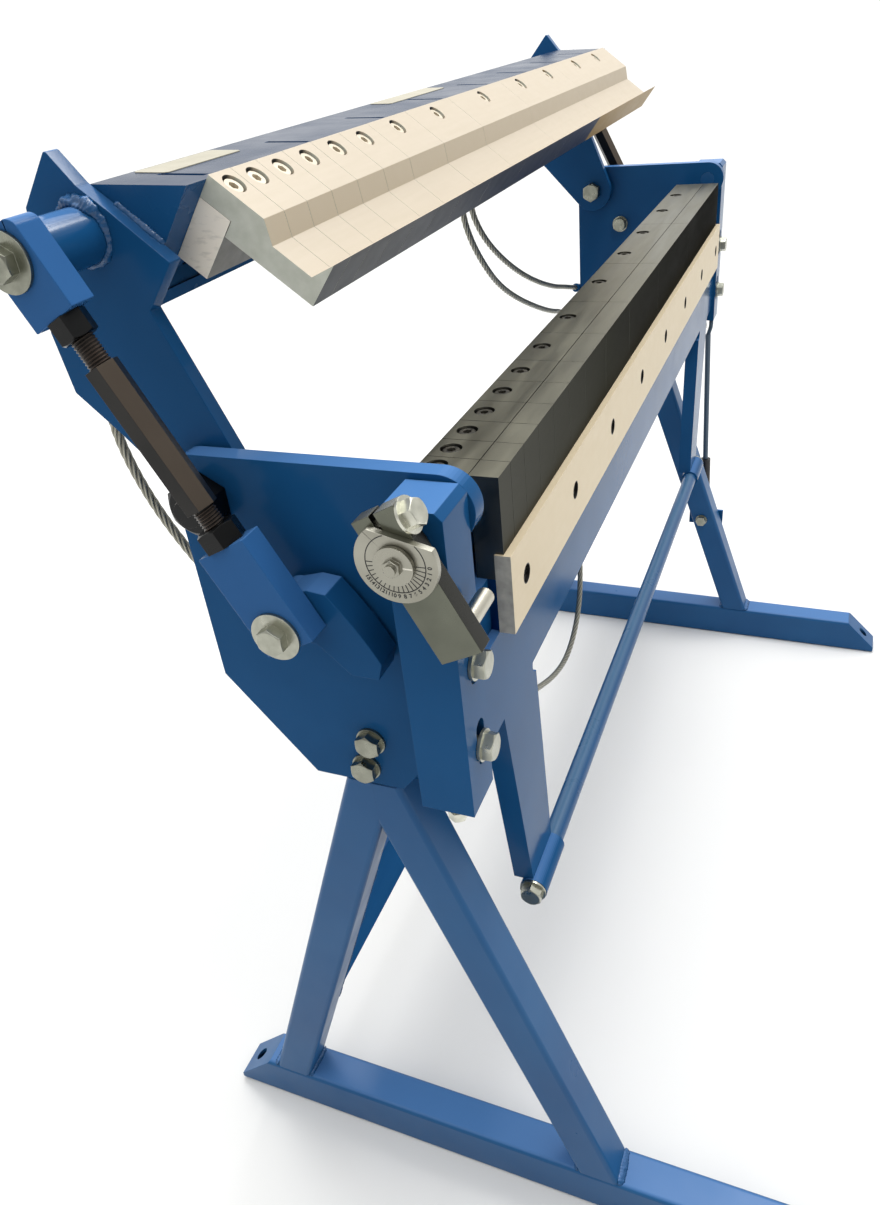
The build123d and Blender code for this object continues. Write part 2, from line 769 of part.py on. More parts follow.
def apron_beam():
    """Folding beam with a rebate for the blades and a welded ear behind each bracket."""
    section = polygon(
        (TONGUE_BACK, APRON_SEAT), (APRON_BACK, APRON_SEAT), (APRON_BACK, APRON_LOW),
        (APRON_FACE, APRON_LOW), (APRON_FACE, STRIP_LOW), (TONGUE_BACK, STRIP_LOW),
    )
    ear_front, ear_back = EAR
    ear = span(ear_front, ear_back, *EAR_SPAN, BEAM_END, EAR_END)
    for z in BOLT_HEIGHTS:
        ear -= rod(at(SLOT_X, ear_front, z), at(SLOT_X, ear_back, z), ADJUST_THREAD + 2 * BOLT_GAP)
    ear += span(APRON_BACK, ear_back, *EAR_SPAN, EAR_WELD, BEAM_END)
    return [slab(section, -BEAM_END, BEAM_END), *both(ear)]


def adjust_bolts():
    """Bolts through each bracket's slots into the folding beam's ear."""
    seat = -BRACKET_SIZE / 2
    return [
        hex_bolt(at(SLOT_X, seat - BLADE_GAP, z), (0, -1, 0), ADJUST_THREAD, reach=EAR[1] - seat)
        for z in BOLT_HEIGHTS
    ]


def bracket():
    """Square hinge bar that turns on the bend axis and carries one end of the folding beam."""
    half = BRACKET_SIZE / 2
    face = polygon(
        (-half, BRACKET_LOW), (half, BRACKET_LOW), (half, half), (BRACKET_BEVEL - half, half),
        (-half, half - BRACKET_BEVEL),
    )
    face -= Circle(AXIS_DIAMETER / 2 + RUNNING_GAP)
    block = slab(face, BRACKET_INNER, BRACKET_INNER + BRACKET_SIZE)
    for z in BOLT_HEIGHTS:
        slot = Pos(SLOT_X, z + SLOT_RISE) * SlotOverall(SLOT_LENGTH, ADJUST_THREAD + 2, rotation=90)
        block -= front_slab(slot, -half, half)
    bore = JACK_THREAD + 2 * BOLT_GAP
    return block - rod(at(JACK_X, 0, BRACKET_LOW), at(JACK_X, 0, BRACKET_LOW + JACK_DEPTH + 2), bore)


def jack_screw():
    """Height screw under a bracket."""
    top = at(JACK_X, 0, BRACKET_LOW + JACK_DEPTH)
    low = at(JACK_X, 0, BRACKET_LOW - JACK_GAP)
    head = at(JACK_X, 0, BRACKET_LOW - JACK_GAP - JACK_THREAD)
    return rod(low, top, JACK_THREAD) + hex_head(low, head, 1.62 * JACK_THREAD)


def handle_arm():
    """Tapered handle arm under the folding beam, ending in the handle's sleeve."""
    inner, outer = SLEEVE_ENDS
    top_inner, top_outer = HANDLE_ARM_TOP
    y, z = HANDLE_AXIS
    low = z + HANDLE_DIAMETER / 2
    face = polygon((top_inner, APRON_LOW), (top_outer, APRON_LOW), (outer - 2, low), (inner, low))
    face -= Pos(top_inner - 2, APRON_LOW - 4) * Circle(HANDLE_NOTCH)
    arm = front_slab(face, APRON_FACE, HANDLE_ARM_BACK)
    arm += rod(at(inner, y, z), at(outer, y, z), SLEEVE_DIAMETER)
    return arm - rod(at(inner, y, z), at(outer, y, z), HANDLE_DIAMETER)


def handle_tube():
    end = SLEEVE_ENDS[1]
    tube = rod(at(-end, *HANDLE_AXIS), at(end, *HANDLE_AXIS), HANDLE_DIAMETER)
    return tube - rod(at(-end, *HANDLE_AXIS), at(end, *HANDLE_AXIS), HANDLE_DIAMETER - 2 * HANDLE_WALL)


def handle_bolt():
    """Bolt and washer that close one end of the handle."""
    return hex_bolt(at(SLEEVE_ENDS[1], *HANDLE_AXIS), (1, 0, 0), 12, reach=20, washer=SLEEVE_DIAMETER - 1)


# Angle stop


def stop_plane(x):
    """Plane on the bend axis: x runs down the stop bar, y runs back across it."""
    lean = radians(STOP_LEAN)
    return Plane(origin=at(x, 0, 0), x_dir=(0, -sin(lean), -cos(lean)), z_dir=(1, 0, 0))


def stop_point(w, v):
    """Point in the middle of the stop bar's thickness."""
    return stop_plane(-(STOP_INNER + STOP_OUTER) / 2).from_local_coords(Vector(w, v, 0))


def stop_bar():
    """Split clamp bar on the bend axis; the pin pressed into its arm stops the bracket."""
    half = STOP_WIDTH / 2
    block_front, block_low = STOP_BLOCK
    face = polygon(
        (STOP_TOP, half), (STOP_TOP, block_front), (block_low, block_front), (block_low, -half),
        (STOP_LOW, -half), (STOP_LOW, half),
    )
    face -= Pos(STOP_TOP / 2, 0) * Rectangle(-STOP_TOP, STOP_SLIT)
    face -= Circle(AXIS_DIAMETER / 2 + RUNNING_GAP)
    body = extrude(stop_plane(-STOP_OUTER) * face, amount=STOP_OUTER - STOP_INNER)
    seat = stop_point(STOP_BOLT_W, block_front)
    body -= rod(seat, stop_point(STOP_BOLT_W, block_front + STOP_BOLT_REACH + 2), STOP_THREAD + 2 * BOLT_GAP)
    pin_end = at(STOP_PIN_LENGTH - STOP_INNER, *STOP_PIN)
    return body + rod(at(-STOP_INNER, *STOP_PIN), pin_end, STOP_PIN_DIAMETER)


def stop_bolt():
    seat = stop_point(STOP_BOLT_W, STOP_BLOCK[0])
    outward = stop_point(0, -1) - stop_point(0, 0)
    return hex_bolt(seat, outward, STOP_THREAD, reach=STOP_BOLT_REACH, washer=STOP_WASHER)


def stop_dial():
    """Graduated dial with a flat on its upper edge, on the stop bar's outer face."""
    radius = DIAL_DIAMETER / 2
    cut = Pos(0, DIAL_FLAT + radius) * Rectangle(DIAL_DIAMETER, DIAL_DIAMETER)
    face = Circle(radius) - Rot(0, 0, DIAL_TILT) * cut
    face -= Circle(AXIS_DIAMETER / 2 + BLADE_GAP)
    return slab(face, -STOP_OUTER - DIAL_THICKNESS, -STOP_OUTER)


# Right-hand stay rod and its bracket on the front leg


def stay_rod():
    """Slim upright rod with a thicker sleeve near its foot."""
    top = at(STAY_X, *STAY_TOP)
    foot_end = at(STAY_X, *STAY_FOOT)
    along = (foot_end - top).normalized()
    first, last = STAY_SLEEVE
    sleeve = rod(top + along * first, top + along * last, STAY_SLEEVE_DIAMETER)
    return rod(top, foot_end, STAY_DIAMETER) + sleeve


def stay_bracket():
    """Clip on the outside of the right front leg that holds the stay rod's foot."""
    plate = span(-58, 2, -600, -570, PLATE_OUTER, PLATE_OUTER + 5)
    shelf = span(-34, -8, -600, -595, PLATE_OUTER, STAY_X + 13)
    hook = span(-34, -8, -600, -585, STAY_X + 13, STAY_X + 17)
    return plate + shelf + hook


# Wire ropes: straight runs and arcs along hand-set routes


def rope(route):
    """A tube along a route, with every bend as wide as its two runs allow."""
    points = [at(*place) for place in route]
    radii = []
    for before, here, after in zip(points, points[1:], points[2:]):
        into = here - before
        out = after - here
        turn = into.get_angle(out)
        radii.append(0.45 * min(into.length, out.length) / tan(radians(turn / 2)))
    path = FilletPolyline(*points, radius=radii)
    section = Plane(origin=points[0], z_dir=points[1] - points[0]) * Circle(ROPE_DIAMETER / 2)
    print(f"rope length {path.length:.0f} mm, tightest bend {min(radii):.0f} mm")
    return sweep(section, path=path)


def build():
    os.makedirs("parts", exist_ok=True)
    save_pair("foot", foot())
    save_pair("front_leg", leg(-1))
    save_pair("rear_leg", leg(1))
    save("stand_heads", *both(stand_head()))
    save("rear_tie", rear_tie())
    save("side_plate_left", mirrored(side_plate()))
    save("side_plate_right", rope_plate())
    save("plate_bolts", *[b for bolt in plate_bolts() for b in both(bolt)])
    save("pivot_nuts", *both(pivot_nut()))
    save("axis_pins", *axis_pins())
    save("bed_beam", *bed_beam())
    save("bed_blades", bed_blades())
    save("bed_screws", *bed_screws())

    save("beam_box", beam_box())
    save_pair("beam_arm", beam_arm())
    save("carrier_bar", carrier_bar())
    for number, edges in enumerate(segment_edges(), start=1):
        save(f"finger_{number:02d}", finger(*edges))
    save("finger_screws", *finger_screws())

    save("upper_pin_bolts", *both(pin_bolt(UPPER_PIN, LINK_OUTER + 0.5)))

    save("crank_shaft", crank_shaft())
    save_pair("link_eyes", *link_eyes())
    save_pair("link_rods", *link_rods())
    save_pair("turnbuckle", turnbuckle())
    save_pair("lower_pin_bolt", pin_bolt(LOWER_PIN, LINK_OUTER))

    save("apron_beam", *apron_beam())
    save("apron_blades", apron_blades())
    save("clamp_strip", clamp_strip())
    save("strip_screws", *strip_screws())
    save_pair("hinge_bracket", bracket())
    save("jack_screws", *both(jack_screw()))
    save_pair("handle_arm", handle_arm())
    save("handle_tube", handle_tube())
    save("apron_bolts", *[b for bolt in [*adjust_bolts(), handle_bolt()] for b in both(bolt)])

    save("stop_bar", stop_bar())
    save("stop_dial", stop_dial())
    save("stop_bolt", stop_bolt())

    save("stay_rod", stay_rod())
    save("stay_bracket", stay_bracket())
    save("rope_long", rope(ROPE_LONG))
    save("rope_short", rope(ROPE_SHORT))


build()
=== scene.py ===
"""Looks of a hand sheet metal folder: finishes, wire ropes, weld beads, threads and dial marks.

Points and meshes are in metres. The sub-assemblies' sizes are in millimetres from the bend line, as
on a drawing: x to the right of the middle, y to the rear and z up. at() turns them into points of
the shared frame.
"""

import logging
import math
from dataclasses import dataclass
from enum import Enum
from typing import Callable, Sequence

import bmesh
import bpy
from mathutils import Matrix, Vector, noise

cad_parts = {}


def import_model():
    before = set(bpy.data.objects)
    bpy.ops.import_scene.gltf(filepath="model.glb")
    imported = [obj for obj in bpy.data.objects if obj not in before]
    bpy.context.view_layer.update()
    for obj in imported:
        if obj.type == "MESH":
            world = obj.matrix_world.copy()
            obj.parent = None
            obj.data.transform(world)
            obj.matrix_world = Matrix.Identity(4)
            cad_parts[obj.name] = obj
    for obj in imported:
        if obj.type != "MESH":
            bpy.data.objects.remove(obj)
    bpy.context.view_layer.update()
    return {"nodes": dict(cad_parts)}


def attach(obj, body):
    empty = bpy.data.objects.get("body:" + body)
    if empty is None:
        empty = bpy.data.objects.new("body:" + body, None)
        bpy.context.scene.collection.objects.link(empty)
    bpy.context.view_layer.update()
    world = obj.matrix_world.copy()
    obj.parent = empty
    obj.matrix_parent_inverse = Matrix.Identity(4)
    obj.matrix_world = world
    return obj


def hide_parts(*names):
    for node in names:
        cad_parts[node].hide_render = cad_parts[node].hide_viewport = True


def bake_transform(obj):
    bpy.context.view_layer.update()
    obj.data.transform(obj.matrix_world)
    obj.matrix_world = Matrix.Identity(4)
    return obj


Tree = bpy.types.NodeTree
Node = bpy.types.Node
Socket = bpy.types.NodeSocket
Triple = tuple[float, float, float]
Span = tuple[float, float]
Form = tuple[list[Vector], list[tuple[int, ...]]]
Inputs = dict[str | int, object]

LOG = logging.getLogger("folder")
MM = 0.001
BED_HEIGHT_MM = 815.0
IMAGE_SIZE = (880, 1205)
SENSOR_MM = 36.0
EVEN = (1, 1, 1)
UP = (0, 0, 1)
FACE_COSINE = 0.85
NOISE_SPAN = (0.3, 0.7)
NOISE_DETAIL = 3.0


class Body(Enum):
    """The moving bodies that pieces ride on."""

    FRAME = "frame"
    BEAM = "clamping_beam"
    LEFT_LINK = "left_link"
    RIGHT_LINK = "right_link"
    BRACKETS = "hinge_brackets"
    APRON = "folding_beam"
    STOP = "angle_stop"


class Side(Enum):
    """Left or right end of the machine, as the sign of x."""

    LEFT = -1
    RIGHT = 1

    @property
    def word(self) -> str:
        """The side in a piece's name."""
        return self.name.lower()


def at(x: float, y: float, z: float) -> Vector:
    """A point of the shared frame.

    Args:
        x: Millimetres to the right of the middle.
        y: Millimetres behind the bend line.
        z: Millimetres above the bend line.

    Returns:
        The point in metres.
    """
    return Vector((x, y, BED_HEIGHT_MM + z)) * MM


def linear(colour: str) -> tuple[float, float, float, float]:
    """Linear colour of an sRGB hex value.

    Args:
        colour: Hex value such as "#2a5288".

    Returns:
        Red, green, blue and an alpha of one.
    """
    parts = [int(colour[k:k + 2], 16) / 255 for k in (1, 3, 5)]
    straight = [p / 12.92 if p <= 0.04045 else ((p + 0.055) / 1.055) ** 2.4 for p in parts]
    return (straight[0], straight[1], straight[2], 1.0)


def feed(tree: Tree, node: Node, inputs: Inputs) -> None:
    """Gives a node's inputs their values or links.

    Args:
        tree: Node tree that holds the node.
        node: The node.
        inputs: Values or output sockets by input name or number.
    """
    for key, value in inputs.items():
        if isinstance(value, Socket):
            tree.links.new(value, node.inputs[key])
        else:
            node.inputs[key].default_value = value


def add_node(tree: Tree, kind: str, inputs: Inputs | None = None, **settings: object) -> Node:
    """Adds one shader node with its settings and links.

    Args:
        tree: Node tree that takes the node.
        kind: Blender's name of the node type.
        inputs: Values or output sockets by input name or number.
        **settings: Properties of the node.

    Returns:
        The new node.
    """
    node = tree.nodes.new(kind)
    for key, value in settings.items():
        setattr(node, key, value)
    feed(tree, node, inputs or {})
    return node


def uneven(tree: Tree, size_mm: float, low: float = 0.0, high: float = 1.0,
           stretch: Triple = EVEN) -> Socket:
    """A value that wanders over the surface.

    Args:
        tree: Node tree to build in.
        size_mm: Size of one patch of the pattern.
        low: Value of the lowest patches.
        high: Value of the highest patches.
        stretch: How much finer the pattern is along each axis.

    Returns:
        Socket with the wandering value.
    """
    place = add_node(tree, "ShaderNodeTexCoord")
    scaled = add_node(tree, "ShaderNodeMapping", {"Vector": place.outputs["Object"], "Scale": stretch})
    grain = add_node(tree, "ShaderNodeTexNoise",
                     {"Vector": scaled.outputs[0], "Scale": 1 / (size_mm * MM), "Detail": NOISE_DETAIL})
    from_low, from_high = NOISE_SPAN
    spread = add_node(tree, "ShaderNodeMapRange",
                      {"Value": grain.outputs[0], "From Min": from_low, "From Max": from_high,
                       "To Min": low, "To Max": high}, clamp=False)
    return spread.outputs[0]


def relief(tree: Tree, size_mm: float, depth_mm: float, stretch: Triple = EVEN) -> Socket:
    """Normal of a surface with fine highs and lows.

    Args:
        tree: Node tree to build in.
        size_mm: Size of one patch of the pattern.
        depth_mm: Height of the pattern.
        stretch: How much finer the pattern is along each axis.

    Returns:
        Socket with the bent normal.
    """
    height = uneven(tree, size_mm, stretch=stretch)
    return add_node(tree, "ShaderNodeBump", {"Height": height, "Distance": depth_mm * MM}).outputs[0]


def layered(tree: Tree, ground: str | Socket, *layers: tuple[Socket, str | Socket]) -> Socket:
    """A colour with others laid over it.

    Args:
        tree: Node tree to build in.
        ground: Hex value or colour socket of the lowest layer.
        *layers: Mask and colour of each further layer, from the lowest up.

    Returns:
        Colour socket.
    """
    for mask, colour in layers:
        below, above = (linear(c) if isinstance(c, str) else c for c in (ground, colour))
        ground = add_node(tree, "ShaderNodeMix", {0: mask, 6: below, 7: above}, data_type="RGBA").outputs[2]
    return ground


def facing(tree: Tree, direction: Triple, soft: float = 0.1) -> Socket:
    """Mask of the faces that look along a direction of the piece itself.

    Args:
        tree: Node tree to build in.
        direction: Unit direction in the piece's own frame.
        soft: Half the width of the change from nought to one, as a cosine.

    Returns:
        Socket that is one on those faces.
    """
    normal = add_node(tree, "ShaderNodeNewGeometry")
    own = add_node(tree, "ShaderNodeVectorTransform", {0: normal.outputs["True Normal"]},
                   vector_type="NORMAL", convert_from="WORLD", convert_to="OBJECT")
    along = add_node(tree, "ShaderNodeVectorMath", {0: own.outputs[0], 1: direction}, operation="DOT_PRODUCT")
    mask = add_node(tree, "ShaderNodeMapRange",
                    {"Value": along.outputs["Value"], "From Min": FACE_COSINE - soft,
                     "From Max": FACE_COSINE + soft})
    return mask.outputs[0]


def own_axes(tree: Tree) -> Node:
    """Node whose outputs are a point's x, y and z in the piece's own frame, in metres."""
    place = add_node(tree, "ShaderNodeTexCoord")
    return add_node(tree, "ShaderNodeSeparateXYZ", {0: place.outputs["Object"]})


def along_axis(tree: Tree, axis: int, start: float, end: float) -> Socket:
    """Share of the way along an axis of the piece itself.

    Args:
        tree: Node tree to build in.
        axis: Nought for x, one for y, two for z.
        start: Place in metres where the share is nought.
        end: Place in metres where it is one.

    Returns:
        Socket with the share.
    """
    place = own_axes(tree).outputs[axis]
    share = add_node(tree, "ShaderNodeMapRange", {"Value": place, "From Min": start, "From Max": end})
    return share.outputs[0]


@dataclass(frozen=True)
class Finish:
    """A surface as it was made, with the record's slot that it belongs to."""

    name: str
    slot: str

    def material(self) -> bpy.types.Material:
        """The Blender material, made on first use.

        Returns:
            The material with this finish's name.
        """
        found = bpy.data.materials.get(self.name)
        if found:
            return found
        made = bpy.data.materials.new(self.name)
        made.use_nodes = True
        tree = made.node_tree
        tree.nodes.clear()
        shader = add_node(tree, "ShaderNodeBsdfPrincipled")
        add_node(tree, "ShaderNodeOutputMaterial", {"Surface": shader.outputs[0]})
        self.shade(tree, shader)
        return made

    def shade(self, tree: Tree, shader: Node) -> None:
        """Sets the shader's colour, gloss and relief; each finish has its own way.

        Args:
            tree: Node tree of the material.
            shader: Its surface shader.
        """
        raise NotImplementedError


@dataclass(frozen=True)
class GlossEnamel(Finish):
    """Sprayed alkyd enamel: a deep blue with a soft wet gloss, faint orange peel and painted light on the
    upward faces.
    """

    deep: str = "#13426c"
    light: str = "#184a77"
    gloss: Span = (0.12, 0.2)
    sheen: float = 0.05
    # The top tone is painted light: upward faces coloured for the light and reflection they take from above.
    top: str = "#446d9f"
    top_soft: float = 0.15
    top_sheen: float = 0.0
    top_sheen_soft: float = 0.5
    cloud_mm: float = 140.0
    peel_mm: float = 3.0
    peel_depth_mm: float = 0.012

    def shade(self, tree: Tree, shader: Node) -> None:
        """Clouded blue under a thin gloss, with the ripple that spraying leaves.

        Args:
            tree: Node tree of the material.
            shader: Its surface shader.
        """
        # Upward faces take the top tone, which is painted light.
        feed(tree, shader, {
            "Base Color": layered(tree, self.deep, (uneven(tree, self.cloud_mm), self.light),
                                  (facing(tree, UP, self.top_soft), self.top)),
            "Roughness": uneven(tree, self.cloud_mm / 3, *self.gloss),
            "Specular IOR Level": self.sheen,
            "Normal": relief(tree, self.peel_mm, self.peel_depth_mm),
        })
        if self.top_sheen:
            upper = facing(tree, UP, self.top_sheen_soft)
            wet = add_node(tree, "ShaderNodeMapRange",
                           {"Value": upper, "To Min": self.sheen, "To Max": self.top_sheen})
            feed(tree, shader, {"Specular IOR Level": wet.outputs[0]})


@dataclass(frozen=True)
class PaleToolSteel(Finish):
    """Ground, pale-coated tool steel: warm satin flats, a step painted darker as shade, grey ends, and a
    lapped sole painted with reflections.
    """

    flat: str = "#afa493"
    worn: str = "#aca18f"
    streak_mm: float = 14.0
    streak_stretch: Triple = (0.25, 3, 3)
    # The step's tone is painted shade.
    step: str = "#a89c88"
    step_direction: Triple | None = None
    end: str = "#bbbdb2"
    end_dark: str = "#adafa3"
    blotch_mm: float = 9.0
    # The sole's colours are painted reflections: dark grey, blue toward the right, tan at the right end.
    sole: str = "#343536"
    sole_blued: str = "#0f2040"
    sole_straw: str = "#9b7d44"
    sole_direction: Triple | None = None
    blued_by_m: Span = (-0.45, 0.12)
    straw_from_m: Span = (0.174, 0.178)
    # The holes' near-black is painted shade.
    hole: str = "#0b0a09"
    hole_radius_mm: float | None = None
    hole_step_mm: float = 137.0
    hole_z_mm: float = -90.0
    metallic: float = 0.1
    sheen: float = 0.35
    gloss: Span = (0.4, 0.46)
    # Real grinding marks are about 0.1 mm apart, too fine to show, so they are drawn coarser.
    scratch_mm: float = 1.6
    scratch_depth_mm: float = 0.002
    scratch_stretch: Triple = (0.1, 1, 1)

    def shade(self, tree: Tree, shader: Node) -> None:
        """Faint grinding streaks, blotched ends, and where they are named the step's painted shade, the
        sole's painted reflections and the holes' painted shade.

        Args:
            tree: Node tree of the material.
            shader: Its surface shader.
        """
        streak = uneven(tree, self.streak_mm, stretch=self.streak_stretch)
        blotch = layered(tree, self.end, (uneven(tree, self.blotch_mm), self.end_dark))
        layers = [(streak, self.worn)]
        layers += [(facing(tree, (sign, 0, 0)), blotch) for sign in (-1, 1)]
        # Painted shade on the step, painted reflections on the sole, painted shade in the holes.
        if self.step_direction:
            layers.append((facing(tree, self.step_direction), self.step))
        if self.sole_direction:
            layers.append((facing(tree, self.sole_direction), self.sole_colour(tree)))
        if self.hole_radius_mm:
            layers.append((self.in_hole(tree), self.hole))
        feed(tree, shader, {
            "Base Color": layered(tree, self.flat, *layers),
            "Metallic": self.metallic,
            "Specular IOR Level": self.sheen,
            "Roughness": uneven(tree, self.streak_mm, *self.gloss),
            "Normal": relief(tree, self.scratch_mm, self.scratch_depth_mm, self.scratch_stretch),
        })

    def in_hole(self, tree: Tree) -> Socket:
        """Mask of a row of screw holes, whose walls are painted black as shade, the first ones half a step to
        either side of the middle.

        Args:
            tree: Node tree to build in.

        Returns:
            Socket that is one on the holes' walls.
        """
        half_step, low = self.hole_step_mm / 2 * MM, at(0, 0, self.hole_z_mm).z
        axes = own_axes(tree).outputs
        wave = add_node(tree, "ShaderNodeMath", {0: axes[0], 1: half_step}, operation="PINGPONG")
        across = add_node(tree, "ShaderNodeMath", {0: wave.outputs[0], 1: half_step}, operation="SUBTRACT")
        rise = add_node(tree, "ShaderNodeMath", {0: axes[2], 1: low}, operation="SUBTRACT")
        away = add_node(tree, "ShaderNodeCombineXYZ", {0: across.outputs[0], 1: rise.outputs[0]})
        reach = add_node(tree, "ShaderNodeVectorMath", {0: away.outputs[0]}, operation="LENGTH")
        inside = add_node(tree, "ShaderNodeMath", {0: reach.outputs["Value"], 1: self.hole_radius_mm * MM},
                          operation="LESS_THAN")
        return inside.outputs[0]

    def sole_colour(self, tree: Tree) -> Socket:
        """Dark grey sole, bluer toward the right and tan at its right end: painted reflections."""
        return layered(tree, self.sole, (along_axis(tree, 0, *self.blued_by_m), self.sole_blued),
                       (along_axis(tree, 0, *self.straw_from_m), self.sole_straw))


@dataclass(frozen=True)
class HardenedSteel(Finish):
    """Hardened blade steel: top ground bright, other faces in dark hardening scale, painted darker to black
    at the right as shade.
    """

    top: str = "#7b796b"
    top_dark: str = "#706e61"
    top_mm: float = 22.0
    # Toward the right the scale's colour and its reflection tint are painted darker, as painted shade.
    scale_left: str = "#5e5e59"
    scale_right: str = "#383835"
    shine_left: str = "#a4a4a4"
    shine_right: str = "#101010"
    fades_over_m: Span = (-0.5, 0.45)
    painted_below_mm: float | None = None
    paint_edge_mm: float = 0.3
    gloss: Span = (0.3, 0.42)
    gloss_mm: float = 30.0
    stretch: Triple = (0.3, 2, 1)
    # Drawn coarser than real grinding marks, which are too fine to show.
    scratch_mm: float = 1.2
    scratch_depth_mm: float = 0.004
    scratch_stretch: Triple = (0.05, 1, 1)

    def shade(self, tree: Tree, shader: Node) -> None:
        """Lengthwise grinding on top, cloudy black elsewhere with painted shade toward the right, and blue
        where the foot was painted over.

        Args:
            tree: Node tree of the material.
            shader: Its surface shader.
        """
        up = facing(tree, UP)
        ground = layered(tree, self.top, (uneven(tree, self.top_mm, stretch=self.stretch), self.top_dark))
        # Painted shade: scale and reflection tint darken toward the right.
        shade_fading = along_axis(tree, 0, *self.fades_over_m)
        scale_and_shade = layered(tree, self.scale_left, (shade_fading, self.scale_right))
        if self.painted_below_mm is not None:
            edge, half = at(0, 0, self.painted_below_mm).z, self.paint_edge_mm * MM
            scale_and_shade = layered(tree, ENAMEL.light, (along_axis(tree, 2, edge - half, edge + half), scale_and_shade))
        shine = layered(tree, self.shine_left, (shade_fading, self.shine_right))
        feed(tree, shader, {
            "Base Color": layered(tree, scale_and_shade, (up, ground)),
            "Specular Tint": layered(tree, shine, (up, "#ffffff")),
            "Metallic": 1.0,
            "Roughness": uneven(tree, self.gloss_mm, *self.gloss, self.stretch),
            "Normal": relief(tree, self.scratch_mm, self.scratch_depth_mm, self.scratch_stretch),
        })


@dataclass(frozen=True)
class BareMetal(Finish):
    """A metal surface with its own tone, gloss and tool marks."""

    light: str = "#a9aa9d"
    dark: str = "#8d8e82"
    metallic: float = 1.0
    gloss: Span = (0.24, 0.36)
    patch_mm: float = 12.0
    # Tool marks and plating grain are some 0.1 mm wide, too fine to show, so they are drawn coarser.
    relief_mm: float = 1.0
    relief_depth_mm: float = 0.006

    def shade(self, tree: Tree, shader: Node) -> None:
        """Two tones of the metal in soft patches, with fine tool marks.

        Args:
            tree: Node tree of the material.
            shader: Its surface shader.
        """
        feed(tree, shader, {
            "Base Color": self.tone(tree),
            "Metallic": self.metallic,
            "Roughness": uneven(tree, self.patch_mm, *self.gloss),
            "Normal": relief(tree, self.relief_mm, self.relief_depth_mm),
        })

    def tone(self, tree: Tree) -> Socket:
        """Colour of the metal, in soft patches."""
        return layered(tree, self.light, (uneven(tree, self.patch_mm), self.dark))


@dataclass(frozen=True)
class TwoFaceMetal(BareMetal):
    """A metal of which one side, or the stretch beyond a station, has another tone: scuffs and paint where
    real, painted light and shade on the link's and stop's fronts.
    """

    other: str = "#c9b3a6"
    other_direction: Triple = (-1, 0, 0)
    cover: Span = (1.0, 1.0)
    cover_mm: float = 9.0
    cover_stretch: Triple = (1, 1, 3)
    beyond_mm: float | None = None
    beyond_axis: int = 0
    beyond_edge_mm: float = 0.1
    beyond: str = "#b9b5a8"
    beyond_metallic: float = 1.0

    def shade(self, tree: Tree, shader: Node) -> None:
        """The metal, with its own share of paint or plating beyond the station.

        Args:
            tree: Node tree of the material.
            shader: Its surface shader.
        """
        super().shade(tree, shader)
        if self.beyond_mm is not None:
            kind = add_node(tree, "ShaderNodeMapRange",
                            {"Value": self.past(tree), "To Min": self.metallic,
                             "To Max": self.beyond_metallic})
            feed(tree, shader, {"Metallic": kind.outputs[0]})

    def tone(self, tree: Tree) -> Socket:
        """The plain colour, with the other tone on the faces of that side and a third beyond the station.

        Args:
            tree: Node tree of the material.

        Returns:
            Colour socket.
        """
        cover = uneven(tree, self.cover_mm, *self.cover, self.cover_stretch)
        # On the carrier this mask is real scuffing; on the link's front it carries painted light and on the
        # stop's front painted shade.
        worn = add_node(tree, "ShaderNodeMath", {0: cover, 1: facing(tree, self.other_direction)},
                        operation="MULTIPLY", use_clamp=True)
        layers = [(worn.outputs[0], self.other)]
        if self.beyond_mm is not None:
            layers.append((self.past(tree), self.beyond))
        return layered(tree, super().tone(tree), *layers)

    def past(self, tree: Tree) -> Socket:
        """Mask of the stretch beyond the station."""
        start, end = ((self.beyond_mm + way * self.beyond_edge_mm) * MM for way in (-1, 1))
        return along_axis(tree, self.beyond_axis, start, end)


@dataclass(frozen=True)
class TwistedWire(Finish):
    """Galvanised wire rope: dull zinc strands, darker toward the grooves between them."""

    strand: str = "#a5a396"
    # Darker the deeper the groove, by the depth kept on the mesh.
    grease: str = "#1d1c1a"
    metallic: float = 0.8
    gloss: Span = (0.36, 0.5)
    gloss_mm: float = 6.0
    relief_mm: float = 0.8
    relief_depth_mm: float = 0.02

    def shade(self, tree: Tree, shader: Node) -> None:
        """Dull strand crowns and dark grooves, from the depth kept on the mesh.

        Args:
            tree: Node tree of the material.
            shader: Its surface shader.
        """
        depth = add_node(tree, "ShaderNodeAttribute", attribute_name="groove")
        feed(tree, shader, {
            "Base Color": layered(tree, self.strand, (depth.outputs["Fac"], self.grease)),
            "Metallic": self.metallic,
            "Roughness": uneven(tree, self.gloss_mm, *self.gloss),
            "Normal": relief(tree, self.relief_mm, self.relief_depth_mm),
        })


@dataclass(frozen=True)
class FlatPaint(Finish):
    """A plain matt paint with a faint unevenness."""

    light: str = "#1a1a19"
    dark: str = "#141413"
    gloss: Span = (0.5, 0.6)
    patch_mm: float = 8.0

    def shade(self, tree: Tree, shader: Node) -> None:
        """Almost even colour."""
        feed(tree, shader, {"Base Color": layered(tree, self.light, (uneven(tree, self.patch_mm), self.dark)),
                            "Roughness": uneven(tree, self.patch_mm, *self.gloss)})


